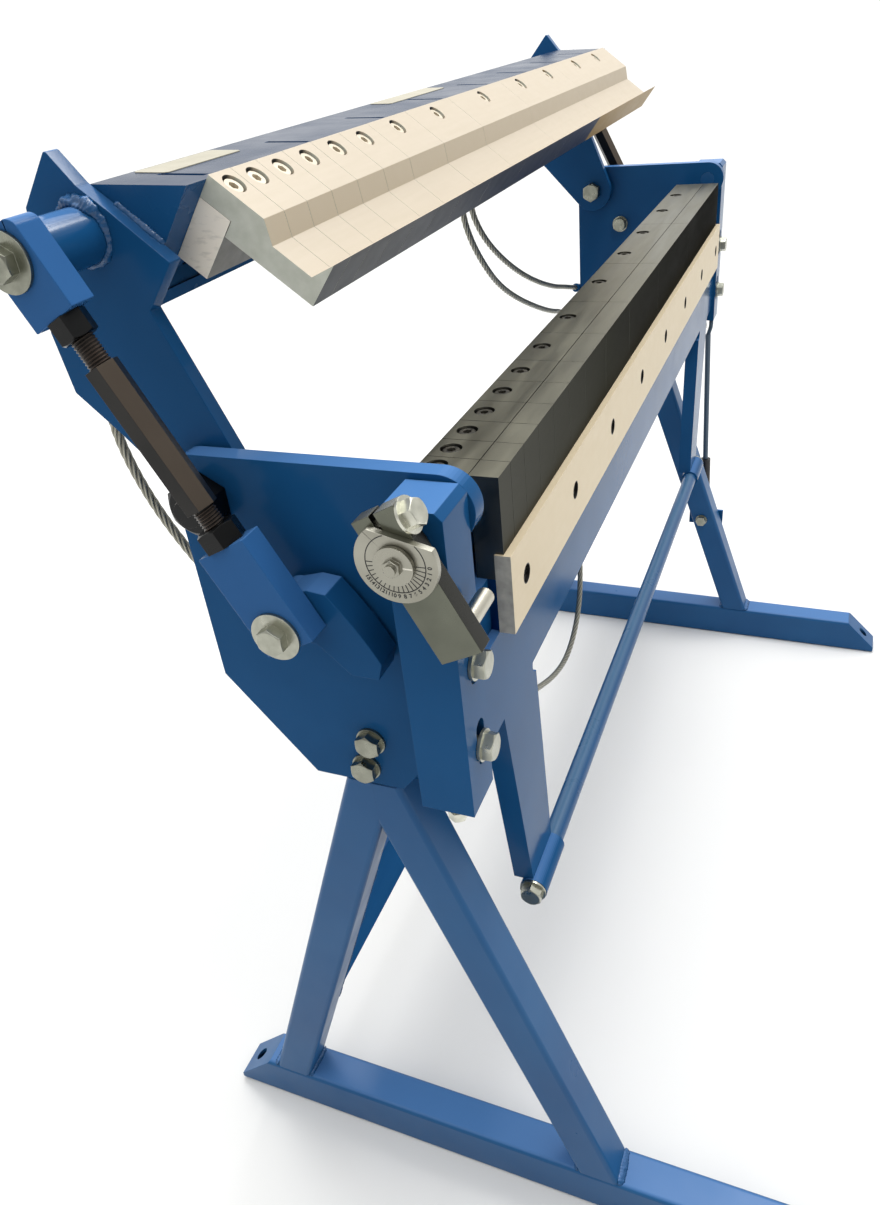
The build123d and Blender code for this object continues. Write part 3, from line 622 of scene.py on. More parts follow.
@dataclass(frozen=True)
class StudioFloor(Finish):
    """Matt studio paint: pale grey, a little paler far away, so that no edge shows against the walls."""

    near: str = "#dcdcdb"
    far: str = "#ececeb"
    spread_m: Span = (1.2, 4.0)
    roughness: float = 0.85
    sheen: float = 0.1

    def shade(self, tree: Tree, shader: Node) -> None:
        """Pale all over, by distance from the middle.

        Args:
            tree: Node tree of the material.
            shader: Its surface shader.
        """
        place = add_node(tree, "ShaderNodeTexCoord")
        reach = add_node(tree, "ShaderNodeVectorMath", {0: place.outputs["Object"]}, operation="LENGTH")
        start, end = self.spread_m
        share = add_node(tree, "ShaderNodeMapRange",
                         {"Value": reach.outputs["Value"], "From Min": start, "From Max": end})
        feed(tree, shader, {"Base Color": layered(tree, self.near, (share.outputs[0], self.far)),
                            "Roughness": self.roughness, "Specular IOR Level": self.sheen})


def downward(lean: float) -> Triple:
    """Direction straight down, leant toward the operator by an angle in radians."""
    return (0.0, -math.sin(lean), -math.cos(lean))


# Faces that differ from their neighbours, with the machine as photographed, and the top of the rod's sleeve.
CLOSING_ANGLE = math.radians(52)
STEP_SLOPE = math.atan2(11.9, 11.1)
STOP_LEAN = math.radians(27)
# The sole takes painted reflections, the step and the stop's front painted shade, and the link's front
# painted light.
SOLE_DIRECTION = downward(CLOSING_ANGLE)
STEP_DIRECTION = downward(CLOSING_ANGLE + STEP_SLOPE)
STOP_FRONT = (0.0, -math.cos(STOP_LEAN), math.sin(STOP_LEAN))
LINK_FRONT = (-0.5, -0.769, 0.398)
SLEEVE_TOP_MM = -481.0

# Enamel: one blue, more or less glossy from part to part, with lighter and darker copies of it painted in for
# the light.
ENAMEL = GlossEnamel("blue gloss enamel, sprayed", "blue_paint")
# The beam's top is painted a dark grey-blue, standing in for the light and reflection on it.
BEAM_ENAMEL = GlossEnamel("blue gloss enamel, wiped on top", "blue_paint", top="#142a45", sheen=0.12,
                          gloss=(0.2, 0.3))
BEAD_ENAMEL = GlossEnamel("blue gloss enamel, pooled on welds", "blue_paint", gloss=(0.08, 0.14), sheen=0.4)
ARM_ENAMEL = GlossEnamel("blue gloss enamel, wet on the upper sides", "blue_paint", top_sheen=1.0)
# The tube's top is painted a greyer blue, as painted light.
HANDLE_ENAMEL = GlossEnamel("blue gloss enamel, rubbed by hands", "blue_paint", top="#41617f", sheen=0.25,
                            gloss=(0.25, 0.35))
# The legs and feet are a lighter copy of the blue, painted light for the brighter light on them.
STAND_ENAMEL = GlossEnamel("blue gloss enamel, dulled by dust", "blue_paint", deep="#194a78",
                           light="#1e5280", gloss=(0.28, 0.38), sheen=0.18, peel_depth_mm=0.006)
# The link eyes are a paler copy of the blue, painted light for their highlights.
SMALL_PART_ENAMEL = GlossEnamel("blue gloss enamel, second coat", "blue_paint", deep="#275283",
                                light="#2d598b")
# The tie is a lighter copy of the blue, painted light.
TIE_ENAMEL = GlossEnamel("blue enamel, thin coat", "blue_paint", deep="#1d5082", light="#215688",
                         gloss=(0.6, 0.7), sheen=0.0)

# Tool steels: ground flats shine softly, sawn ends are scuffed and hardened faces nearly black, darker to the
# right as painted shade.
# The fingers' step takes painted shade and their sole painted reflections.
FINGER_STEEL = PaleToolSteel("pale tool steel, ground and lapped", "ground_tool_steel",
                             sole_direction=SOLE_DIRECTION, step_direction=STEP_DIRECTION)
# The strip's screw holes are painted black as shade.
STRIP_STEEL = PaleToolSteel("pale strip steel, ground", "ground_tool_steel", flat="#c7b89c", worn="#c5b699",
                            end="#b0ada4", end_dark="#8f8d86", hole_radius_mm=7.75)
CARRIER_STEEL = TwoFaceMetal("milled carrier steel, sawn ends scuffed", "carrier_steel", light="#79766c",
                             dark="#6e6b62", metallic=0.15, gloss=(0.4, 0.5), other="#ece4d6",
                             cover=(0.8, 1.3))
BLADE_STEEL = HardenedSteel("hardened blade steel, ground on top", "dark_tool_steel")
APRON_BLADE_STEEL = HardenedSteel("hardened blade steel, foot painted over", "dark_tool_steel",
                                  painted_below_mm=-79.0)

# Zinc and bright steel: soft warm greys, from new and bright to dull.
ZINC = BareMetal("zinc plate, bright", "zinc", light="#dbdacd", dark="#b5b5a9")
DULL_ZINC = BareMetal("zinc plate, dulled", "zinc", light="#96978b", dark="#7d7e73")
GREY_ZINC = BareMetal("zinc plate, greyed", "zinc", light="#b0b0a4", dark="#96978b")
SCREW_ZINC = BareMetal("zinc plate, pale", "zinc", light="#cfc5b2", dark="#b9af9c", metallic=0.3,
                       gloss=(0.35, 0.45))
# Its front faces are painted darker, as painted shade.
STOP_STEEL = TwoFaceMetal("bright steel, drawn, dark in front", "bright_steel", light="#6a6c61",
                          dark="#5b5d54", gloss=(0.24, 0.34), patch_mm=40.0, other="#353532",
                          other_direction=STOP_FRONT, beyond_mm=-607.5)
PIN_STEEL = TwoFaceMetal("bright steel, turned, right pin painted over", "bright_steel", light="#9a988d",
                         dark="#86847a", other="#9a988d", beyond_mm=0.0, beyond=ENAMEL.light,
                         beyond_metallic=0.0)
DIAL_STEEL = BareMetal("bright steel, turned satin", "bright_steel", light="#a3a196", dark="#939186",
                       gloss=(0.34, 0.42), patch_mm=30.0)
PLATE_METAL = BareMetal("anodised aluminium plate, bare", "bright_steel", light="#a39e8c", dark="#979281",
                        metallic=0.2, gloss=(0.4, 0.5), patch_mm=20.0)
ROPE_WIRE = TwistedWire("galvanised wire rope, laid", "wire_rope")

# Black oxide: an oily brown-black that rubs off to bare grey where hands and tools reach.
BLACK_OXIDE = BareMetal("black oxide steel, oiled", "black_oxide", light="#4a4039", dark="#25211e",
                        metallic=0.6, gloss=(0.3, 0.45), patch_mm=40.0)
JET_OXIDE = BareMetal("black oxide steel, new", "black_oxide", light="#0f1011", dark="#090a0b",
                      metallic=0.6, gloss=(0.25, 0.35))
# Its front faces are painted a lighter brown as painted light.
LINK_OXIDE = TwoFaceMetal("black oxide steel, rubbed brown in front", "black_oxide", light="#23211f",
                          dark="#1b1a19", metallic=0.6, gloss=(0.3, 0.45), patch_mm=40.0, other="#4d443b",
                          other_direction=LINK_FRONT)
RUBBED_OXIDE = BareMetal("black oxide steel, rubbed bright", "black_oxide", light="#7f7c73", dark="#33312d",
                         metallic=0.8, gloss=(0.25, 0.35), patch_mm=4.0)
ROD_STEEL = TwoFaceMetal("steel rod, painted slate above its black sleeve", "black_oxide", light="#1d1c1e",
                         dark="#161518", metallic=0.3, gloss=(0.35, 0.45), other="#1d1c1e",
                         beyond_mm=BED_HEIGHT_MM + SLEEVE_TOP_MM, beyond_axis=2, beyond="#3f5161",
                         beyond_metallic=0.3)

# Plain paints: flat and even, with no highlight.
MARK_PAINT = FlatPaint("black engraving paint", "black_oxide")
INDEX_PAINT = FlatPaint("white engraving paint", "bright_steel", light="#e8e4d8", dark="#dedacd")
FLOOR_PAINT = StudioFloor("pale studio floor, matt", "")


def mesh_of(name: str, points: Sequence[Vector], faces: Sequence[Sequence[int]],
            smooth: bool = True) -> bpy.types.Mesh:
    """A mesh from points and faces, with its normals turned outward.

    Args:
        name: Name of the mesh.
        points: Points in metres.
        faces: Point numbers of each face.
        smooth: Whether the faces shade as one round surface.

    Returns:
        The mesh.
    """
    mesh = bpy.data.meshes.new(name)
    mesh.from_pydata([tuple(p) for p in points], [], [tuple(f) for f in faces])
    cleaner = bmesh.new()
    cleaner.from_mesh(mesh)
    bmesh.ops.recalc_face_normals(cleaner, faces=cleaner.faces)
    cleaner.to_mesh(mesh)
    cleaner.free()
    for face in mesh.polygons:
        face.use_smooth = smooth
    return mesh


def put(name: str, form: Form, finish: Finish, body: Body, smooth: bool = True) -> None:
    """Places a piece that rides on a body.

    Args:
        name: Name of the piece.
        form: Its points and faces, already in place.
        finish: Its finish.
        body: The body that it moves with.
        smooth: Whether its faces shade as one round surface.
    """
    mesh = mesh_of(name, *form, smooth=smooth)
    piece = bpy.data.objects.new(name, mesh)
    bpy.context.scene.collection.objects.link(piece)
    mesh.materials.append(finish.material())
    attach(piece, body.value)
    LOG.info("piece %s on %s", name, body.value)


def loft(rings: Sequence[Sequence[Vector]], closed: bool = False) -> Form:
    """Joins rings of equal count into a skin.

    Args:
        rings: Rings of points along a path.
        closed: Whether the last ring joins the first; otherwise both ends are capped.

    Returns:
        Points and faces.
    """
    count = len(rings[0])
    points = [p for ring in rings for p in ring]
    faces: list[tuple[int, ...]] = []
    last = len(rings) if closed else len(rings) - 1
    for k in range(last):
        here, there = k * count, ((k + 1) % len(rings)) * count
        for n in range(count):
            m = (n + 1) % count
            faces.append((here + n, here + m, there + m, there + n))
    if not closed:
        faces.append(tuple(range(count)))
        faces.append(tuple(range((len(rings) - 1) * count, len(rings) * count)))
    return points, faces


def prism(outline: Sequence[Vector], rise: Vector) -> Form:
    """A flat outline given thickness.

    Args:
        outline: Corners in order.
        rise: Thickness as a direction.

    Returns:
        Points and faces.
    """
    return loft([list(outline), [p + rise for p in outline]])


def gathered(parts: Sequence[Form]) -> Form:
    """Several loose forms as the points and faces of one mesh.

    Args:
        parts: Points and faces of each form.

    Returns:
        Points and faces of all.
    """
    points: list[Vector] = []
    faces: list[tuple[int, ...]] = []
    for own, own_faces in parts:
        first = len(points)
        points += own
        faces += [tuple(first + n for n in face) for face in own_faces]
    return points, faces


def spaced(path: Sequence[Vector], step: float) -> list[Vector]:
    """Points at an even spacing along straight runs.

    Args:
        path: Corner points.
        step: Spacing in metres.

    Returns:
        The evenly spaced points, both ends included.
    """
    found = [path[0].copy()]
    for start, end in zip(path, path[1:]):
        count = max(1, round((end - start).length / step))
        found += [start.lerp(end, (k + 1) / count) for k in range(count)]
    return found


def turned(centre: Vector, radius: float, turn: float, first: Vector, second: Vector) -> Vector:
    """A point on a circle.

    Args:
        centre: Middle of the circle.
        radius: Its radius in metres.
        turn: Angle from the first direction toward the second, in radians.
        first: One unit direction in its plane.
        second: The other unit direction, square to the first.

    Returns:
        The point.
    """
    return centre + (first * math.cos(turn) + second * math.sin(turn)) * radius


def square_to(axis: Vector) -> tuple[Vector, Vector]:
    """Two unit directions that are square to an axis and to each other."""
    side = axis.orthogonal().normalized()
    return side, axis.cross(side)


@dataclass
class WeldBead:
    """A hand-laid fillet weld in the corner between two faces."""

    leg_mm: float = 6.0
    ripple_mm: float = 3.2
    ripple: float = 0.05
    crescent_mm: float = 1.6
    step_mm: float = 0.9
    sides: int = 7
    root_mm: float = 0.4
    bulge: float = 0.5
    lump: float = 0.22
    lump_mm: float = 14.0
    spatter: float = 0.12
    spatter_mm: float = 3.5
    ring_steps: int = 72
    least_share: float = 0.4

    def form(self, path: Sequence[Vector], legs: Callable[[Vector], tuple[Vector, Vector]],
             closed: bool = False, share: Callable[[Vector], float] = lambda _: 1.0) -> Form:
        """Rippled bead along a path, run out to nothing at open ends.

        Args:
            path: Corner line that the bead fills.
            legs: Gives, at a point of the line, the directions along the two faces.
            closed: Whether the line is a ring.
            share: Gives, at a point of the line, the share of the full leg there.

        Returns:
            Points and faces.
        """
        line = spaced(path, self.step_mm * MM)
        if closed:
            line = line[:-1]
        rings = []
        for k, corner in enumerate(line):
            first, second = legs(corner)
            from_end = min(k + 1, len(line) - k) * self.step_mm
            run_out = 1.0 if closed else min(1.0, from_end / self.leg_mm) ** 0.5
            size = self.leg_mm * MM * run_out * share(corner)
            wander = self.lump * noise.noise(corner / (self.lump_mm * MM))
            ring = [corner - (first + second) * (self.root_mm * MM)]
            for n in range(self.sides):
                turn = math.pi / 2 * n / (self.sides - 1)
                crescent = k * self.step_mm + self.crescent_mm * math.sin(2 * turn)
                wave = self.ripple * math.sin(2 * math.pi * crescent / self.ripple_mm)
                flat = 1 / (math.cos(turn) + math.sin(turn))
                way = first * math.cos(turn) + second * math.sin(turn)
                drops = self.spatter * noise.noise((corner + way * size) / (self.spatter_mm * MM))
                reach = size * ((1 - self.bulge) * flat + self.bulge)
                ring.append(corner + way * (reach * (1 + wander + drops + wave)))
            rings.append(ring)
        return loft(rings, closed)

    def straight(self, name: str, start: Vector, end: Vector, first: Sequence[float],
                 second: Sequence[float], body: Body) -> None:
        """Lays a bead along one straight corner.

        Args:
            name: Name of the piece.
            start: One end of the corner.
            end: Its other end.
            first: Direction along one face, away from the corner.
            second: Direction along the other face.
            body: The body that it is on.
        """
        legs = (Vector(first).normalized(), Vector(second).normalized())
        put(name, self.form([start, end], lambda _: legs), BEAD_ENAMEL, body)

    def ring(self, name: str, centre: Vector, outward: Sequence[float], radius_mm: float, body: Body) -> None:
        """Lays a bead round a bar that stands on a face, heaviest on the upper side.

        Args:
            name: Name of the piece.
            centre: Middle of the ring, on the face.
            outward: Direction of the bar away from the face.
            radius_mm: Radius of the bar.
            body: The body that it is on.
        """
        axis = Vector(outward).normalized()
        plane = square_to(axis)
        turns = [2 * math.pi * k / self.ring_steps for k in range(self.ring_steps + 1)]
        path = [turned(centre, radius_mm * MM, turn, *plane) for turn in turns]
        more = 1 - self.least_share
        bead = self.form(path, lambda p: ((p - centre).normalized(), axis), closed=True,
                         share=lambda p: self.least_share + more * max(0.0, (p - centre).normalized().z))
        put(name, bead, BEAD_ENAMEL, body)


@dataclass
class ThreadRidge:
    """The crest of a screw thread, standing on a plain rod."""

    pitch_mm: float = 2.0
    height_mm: float = 0.85
    root_mm: float = 0.15
    foot_share: float = 0.48
    crest_share: float = 0.08
    points_per_turn: int = 28

    def lay(self, name: str, start: Vector, end: Vector, radius_mm: float, finish: Finish,
            body: Body) -> None:
        """Winds the ridge between two points of a rod's axis.

        Args:
            name: Name of the piece.
            start: Start of the thread on the axis.
            end: End of the thread on the axis.
            radius_mm: Radius of the plain rod.
            finish: Finish of the rod.
            body: The body that it is on.
        """
        axis = (end - start).normalized()
        plane = square_to(axis)
        pitch = self.pitch_mm * MM
        count = int((end - start).length / pitch * self.points_per_turn)
        base, crest = (radius_mm - self.root_mm) * MM, (radius_mm + self.height_mm) * MM
        foot, top = axis * (pitch * self.foot_share), axis * (pitch * self.crest_share)
        rings = []
        for k in range(count + 1):
            turn = 2 * math.pi * k / self.points_per_turn
            middle = start + axis * (pitch * k / self.points_per_turn)
            low, high = (turned(Vector(), radius, turn, *plane) for radius in (base, crest))
            rings.append([middle - foot + low, middle - top + high, middle + top + high, middle + foot + low])
        put(name, loft(rings), finish, body, smooth=False)


@dataclass
class WireRope:
    """A wire rope of laid strands along a route with both ends in sockets."""

    name: str
    node: str
    route_mm: list[Triple]
    length: float
    diameter_mm: float = 8.0
    strands: int = 6
    lay_mm: float = 56.0
    points_per_strand: int = 7
    groove_share: float = 0.35
    spline_resolution: int = 40
    bend_from_z_mm: float = -110.0
    bend_to_z_mm: float = 92.0

    def centre_line(self) -> list[Vector]:
        """The smooth line through the route, read from its spline.

        Returns:
            Points of the line in metres.
        """
        curve = bpy.data.curves.new(self.name + "_line", "CURVE")
        curve.dimensions = "3D"
        spline = curve.splines.new("NURBS")
        spline.points.add(len(self.route_mm) - 1)
        for point, place in zip(spline.points, self.route_mm):
            point.co = (*at(*place), 1.0)
        spline.order_u = 3
        spline.use_endpoint_u = True
        spline.resolution_u = self.spline_resolution
        holder = bpy.data.objects.new(curve.name, curve)
        line = bpy.data.meshes.new_from_object(holder)
        found = [v.co.copy() for v in line.vertices]
        bpy.data.objects.remove(holder)
        return found

    def section(self, turn: float) -> Span:
        """Outline of the strands, each a third as wide as the rope, as six round a core are.

        Args:
            turn: Angle from a strand's crown, in radians.

        Returns:
            Radius of the outline in metres and the depth of the groove, from nought to one.
        """
        radius = self.diameter_mm / 2 * MM
        strand = radius / 3
        middle = radius - strand
        reach = strand ** 2 - (middle * math.sin(turn)) ** 2
        outline = middle * math.cos(turn) + math.sqrt(max(reach, 0.0))
        return outline, min(1.0, (radius - outline) / (self.groove_share * radius))

    def strand_skin(self, line: Sequence[Vector]) -> tuple[list[list[Vector]], list[float]]:
        """The laid strands along a line.

        Args:
            line: Points of the rope's middle.

        Returns:
            Rings of points, and the depth of the groove at each point.
        """
        count, step = self.strands * self.points_per_strand, 2 * math.pi / self.strands
        turns = [2 * math.pi * n / count for n in range(count)]
        sections = [self.section((turn + step / 2) % step - step / 2) for turn in turns]
        side = (line[1] - line[0]).orthogonal().normalized()
        travelled = 0.0
        rings = []
        for k, here in enumerate(line):
            before, after = line[max(k - 1, 0)], line[min(k + 1, len(line) - 1)]
            along = (after - before).normalized()
            side = (side - along * side.dot(along)).normalized()
            travelled += (here - before).length
            twist = 2 * math.pi * travelled / (self.lay_mm * MM)
            rings.append([turned(here, reach, turn + twist, side, along.cross(side))
                          for turn, (reach, _) in zip(turns, sections)])
        LOG.info("rope %s, %.3f m", self.name, travelled)
        return rings, [groove for _, groove in sections] * len(line)

    def build(self) -> None:
        line = self.centre_line()
        rings, grooves = self.strand_skin(line)
        mesh = mesh_of(self.name, *loft(rings))
        mesh.attributes.new("groove", "FLOAT", "POINT").data.foreach_set("value", grooves)
        mesh.materials.append(ROPE_WIRE.material())
        piece = bpy.data.objects.new(self.name, mesh)
        bpy.context.scene.collection.objects.link(piece)
        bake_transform(piece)
        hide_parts(self.node)


@dataclass(frozen=True)
class Dressing:
    """A finish, the machined pieces that have it, and their edges as deburring and paint leave them."""

    finish: Finish
    edge_mm: float
    names: tuple[str, ...]
    least_deg: float = 35.0
    edge_segments: int = 2
    join_mm: float = 0.002
    flat_deg: float = 0.1

    def apply(self, nodes: dict[str, bpy.types.Object]) -> None:
        """Dresses the pieces whose names begin with these names.

        Args:
            nodes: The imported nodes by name.
        """
        for name, node in sorted(nodes.items()):
            if name.startswith(self.names):
                node.data.materials.clear()
                node.data.materials.append(self.finish.material())
                self.soften(node)
                LOG.info("node %s in %s", name, self.finish.name)

    def soften(self, node: bpy.types.Object) -> None:
        """Rounds the edges where faces turn by more than the least angle.

        Args:
            node: The piece.
        """
        joined = node.modifiers.new("joined", "WELD")
        joined.merge_threshold = self.join_mm * MM
        flats = node.modifiers.new("flats", "DECIMATE")
        flats.decimate_type = "DISSOLVE"
        flats.angle_limit = math.radians(self.flat_deg)
        edges = node.modifiers.new("edges", "BEVEL")
        edges.width = self.edge_mm * MM
        edges.segments = self.edge_segments
        edges.limit_method = "ANGLE"
        edges.angle_limit = math.radians(self.least_deg)
        edges.harden_normals = False
        shade = node.modifiers.new("shade", "WEIGHTED_NORMAL")
        shade.keep_sharp = False
        shade.weight = 100


@dataclass
class Toggle:
    """The clamp toggle of one side: threads of its link's rods and of the beam pivot's stud end."""

    side: Side
    upper_pin: Span = (230.0, 161.5)
    lower_pin: Span = (105.5, -79.0)
    pivot: Span = (175.0, -9.0)
    middle_x: float = 599.0
    forward: float = 2.5
    rod_radius: float = 7.0
    low_thread: Span = (82.0, 95.5)
    high_thread: Span = (198.5, 217.0)
    stud_radius: float = 10.0
    stud_x: Span = (578.3, 583.6)

    def on_link(self, distance: float) -> Vector:
        """A point on the rods' axis.

        Args:
            distance: Millimetres up from the lower pin.

        Returns:
            The point.
        """
        low, high = Vector(self.lower_pin), Vector(self.upper_pin)
        along = (high - low).normalized()
        place = low + along * distance + Vector((-along.y, along.x)) * self.forward
        return at(self.side.value * self.middle_x, place.x, place.y)

    def dress(self) -> None:
        """Winds the threads that stand clear of the nuts."""
        body = Body.LEFT_LINK if self.side is Side.LEFT else Body.RIGHT_LINK
        thread = ThreadRidge(pitch_mm=2.1, height_mm=0.75)
        for part, span in (("low", self.low_thread), ("high", self.high_thread)):
            low, high = (self.on_link(distance) for distance in span)
            thread.lay(f"link_thread_{part}_{self.side.word}", low, high, self.rod_radius, BLACK_OXIDE, body)
        inner, outer = (at(self.side.value * x, *self.pivot) for x in self.stud_x)
        stud = ThreadRidge(pitch_mm=1.5, height_mm=0.3)
        stud.lay(f"pivot_thread_{self.side.word}", inner, outer, self.stud_radius, BLACK_OXIDE, Body.FRAME)


@dataclass
class ClampingBeam:
    """Welds and plates on the clamping beam."""

    arm_inner: float = 531.0
    arm_outer: float = 543.0
    stub: Span = (230.0, 161.5)
    stub_radius: float = 18.0
    arm_edge: tuple[Span, ...] = ((210.0, 177.6), (180.0, 152.7))
    top_front: Span = (154.1, 185.7)
    top_rear: Span = (226.0, 189.0)
    label_thickness: float = 0.5
    label_corner: float = 2.5
    labels: tuple[tuple[float, float, float, float], ...] = ((-492, -402, 196, 223), (-130, 10, 202, 224))

    def weld_side(self, side: Side) -> None:
        """Lays the beads of one end: round the link's stub and along the arm's front edge.

        Args:
            side: End of the beam.
        """
        sign = side.value
        stub_bead = WeldBead(leg_mm=7.5, lump=0.4, spatter=0.35, spatter_mm=5.5)
        stub_bead.ring(f"stub_weld_{side.word}", at(sign * self.arm_outer, *self.stub), (sign, 0, 0),
                       self.stub_radius, Body.BEAM)
        edge_bead = WeldBead(leg_mm=2.8, ripple_mm=2.6, lump=0.4, spatter=0.2)
        for number, (start, end) in enumerate(zip(self.arm_edge, self.arm_edge[1:]), start=1):
            run = (Vector(end) - Vector(start)).normalized()
            edge_bead.straight(f"arm_weld_{number}_{side.word}", at(sign * self.arm_inner, *start),
                               at(sign * self.arm_inner, *end), (sign, 0, 0), (0, run.y, -run.x), Body.BEAM)

    def top_height(self, y: float) -> float:
        """Height of the top plate above the bend line at a distance behind it."""
        (y0, z0), (y1, z1) = self.top_front, self.top_rear
        return z0 + (z1 - z0) * (y - y0) / (y1 - y0)

    def fix_label(self, number: int, x0: float, x1: float, y0: float, y1: float) -> None:
        """Puts one bare plate on the beam's top.

        Args:
            number: Number in its name.
            x0: Left edge in millimetres.
            x1: Right edge.
            y0: Front edge.
            y1: Rear edge.
        """
        cut = self.label_corner
        outline = [(x0 + cut, y0), (x1 - cut, y0), (x1, y0 + cut), (x1, y1 - cut),
                   (x1 - cut, y1), (x0 + cut, y1), (x0, y1 - cut), (x0, y0 + cut)]
        points = [at(x, y, self.top_height(y)) for x, y in outline]
        plate = prism(points, Vector((0, 0, self.label_thickness * MM)))
        put(f"label_plate_{number}", plate, PLATE_METAL, Body.BEAM, smooth=False)

    def dress(self) -> None:
        """Adds all welds and plates."""
        for side in Side:
            self.weld_side(side)
        for number, place in enumerate(self.labels, start=1):
            self.fix_label(number, *place)


@dataclass
class Stand:
    """Welds of the two A-frames, the tie between them and the bed."""

    inner: float = 520.0
    outer: float = 560.0
    weld_inset: float = 1.0
    apex: Span = (85.0, -245.0)
    slope: float = 0.35
    foot_top: float = -757.0
    half_tube: float = 20.0
    tie_span: Span = (168.0, 418.0)
    tie_depth: Span = (10.0, 16.0)
    plate_inner: float = 545.0
    web_back: float = 38.0
    web_span: Span = (-248.0, -32.0)

    def weld_leg(self, side: Side, rear: int) -> None:
        """Lays the beads at the foot of one leg.

        Args:
            side: End of the machine.
            rear: One for the rear leg, minus one for the front leg.
        """
        lean = math.atan(self.slope)
        middle = self.apex[0] + rear * self.slope * (self.apex[1] - self.foot_top)
        half = self.half_tube / math.cos(lean)
        up = (0, -rear * math.sin(lean), math.cos(lean))
        name = f"leg_weld_{side.word}_{'rear' if rear > 0 else 'front'}"
        bead = WeldBead(leg_mm=5.0, lump=0.35)
        for way, word in ((-1, "fore"), (1, "back")):
            ends = [at(side.value * x, middle + way * half, self.foot_top)
                    for x in (self.inner + self.weld_inset, self.outer - self.weld_inset)]
            bead.straight(f"{name}_{word}", *ends, (0, way, 0), up, Body.FRAME)

    def weld_tie(self, side: Side) -> None:
        """Lays the beads of one end of the tie plate against its leg.

        Args:
            side: End of the machine.
        """
        lean = math.atan(self.slope)
        down = Vector((math.sin(lean), -math.cos(lean)))
        across = Vector((-math.cos(lean), -math.sin(lean)))
        bead = WeldBead(leg_mm=4.0, step_mm=1.4, lump=0.35)
        for depth, way, word in zip(self.tie_depth, (-1, 1), ("rear", "front")):
            corners = [Vector(self.apex) + down * s + across * depth for s in self.tie_span]
            ends = [at(side.value * self.inner, *corner) for corner in corners]
            face = across * way
            bead.straight(f"tie_weld_{side.word}_{word}", *ends, (-side.value, 0, 0), (0, face.x, face.y),
                          Body.FRAME)

    def weld_bed(self, side: Side) -> None:
        """Lays the bead behind the bed's web against a side plate.

        Args:
            side: End of the machine.
        """
        ends = [at(side.value * self.plate_inner, self.web_back, z) for z in self.web_span]
        bead = WeldBead(leg_mm=5.0, step_mm=1.4, lump=0.3)
        bead.straight(f"bed_weld_{side.word}", *ends, (-side.value, 0, 0), (0, 1, 0), Body.FRAME)

    def dress(self) -> None:
        """Adds all welds of the stand."""
        for side in Side:
            for rear in (-1, 1):
                self.weld_leg(side, rear)
            self.weld_tie(side)
            self.weld_bed(side)


@dataclass
class BedScrews:
    """Upper parts of the socket heads that hold the bed blades, just below the blades' top."""

    segments: tuple[float, ...] = (25, 30, 35, 40, 45, 50, 75, 100, 150, 200, 270)
    pair_from: float = 200.0
    pair_half_step: float = 53.0
    line_y: float = 27.0
    low: float = -4.2
    top: float = -1.2
    radius: float = 6.6
    chamfer: float = 0.7
    socket_flat: float = 3.0
    socket_depth: float = 2.6
    points: int = 24

    def places(self) -> list[float]:
        """Stations of the screws: one in the middle of a segment, or a pair in a wide one.

        Returns:
            Their x in millimetres.
        """
        found: list[float] = []
        left = -sum(self.segments) / 2
        for width in self.segments:
            middle = left + width / 2
            steps = (0.0,) if width < self.pair_from else (-self.pair_half_step, self.pair_half_step)
            found += [middle + step for step in steps]
            left += width
        return found

    def ring(self, x: float, z: float, radius: float, hexagonal: bool = False) -> list[Vector]:
        """One outline of a head.

        Args:
            x: Station of the screw.
            z: Height of the outline.
            radius: Its radius, or half the width across flats.
            hexagonal: Whether it is the socket's hexagon.

        Returns:
            Its points.
        """
        sixth = math.pi / 3
        found = []
        for k in range(self.points):
            turn = 2 * math.pi * k / self.points
            reach = radius / math.cos((turn + sixth / 2) % sixth - sixth / 2) if hexagonal else radius
            found.append(at(x + reach * math.cos(turn), self.line_y + reach * math.sin(turn), z))
        return found

    def head(self, x: float) -> Form:
        """The head at a station.

        Args:
            x: Station of the screw.

        Returns:
            Points and faces.
        """
        return loft([
            self.ring(x, self.low, self.radius),
            self.ring(x, self.top - self.chamfer, self.radius),
            self.ring(x, self.top, self.radius - self.chamfer),
            self.ring(x, self.top, self.socket_flat, hexagonal=True),
            self.ring(x, self.top - self.socket_depth, self.socket_flat, hexagonal=True),
        ])

    def dress(self) -> None:
        """Adds all heads as one piece."""
        heads = gathered([self.head(x) for x in self.places()])
        put("bed_screw_heads", heads, RUBBED_OXIDE, Body.FRAME, smooth=False)


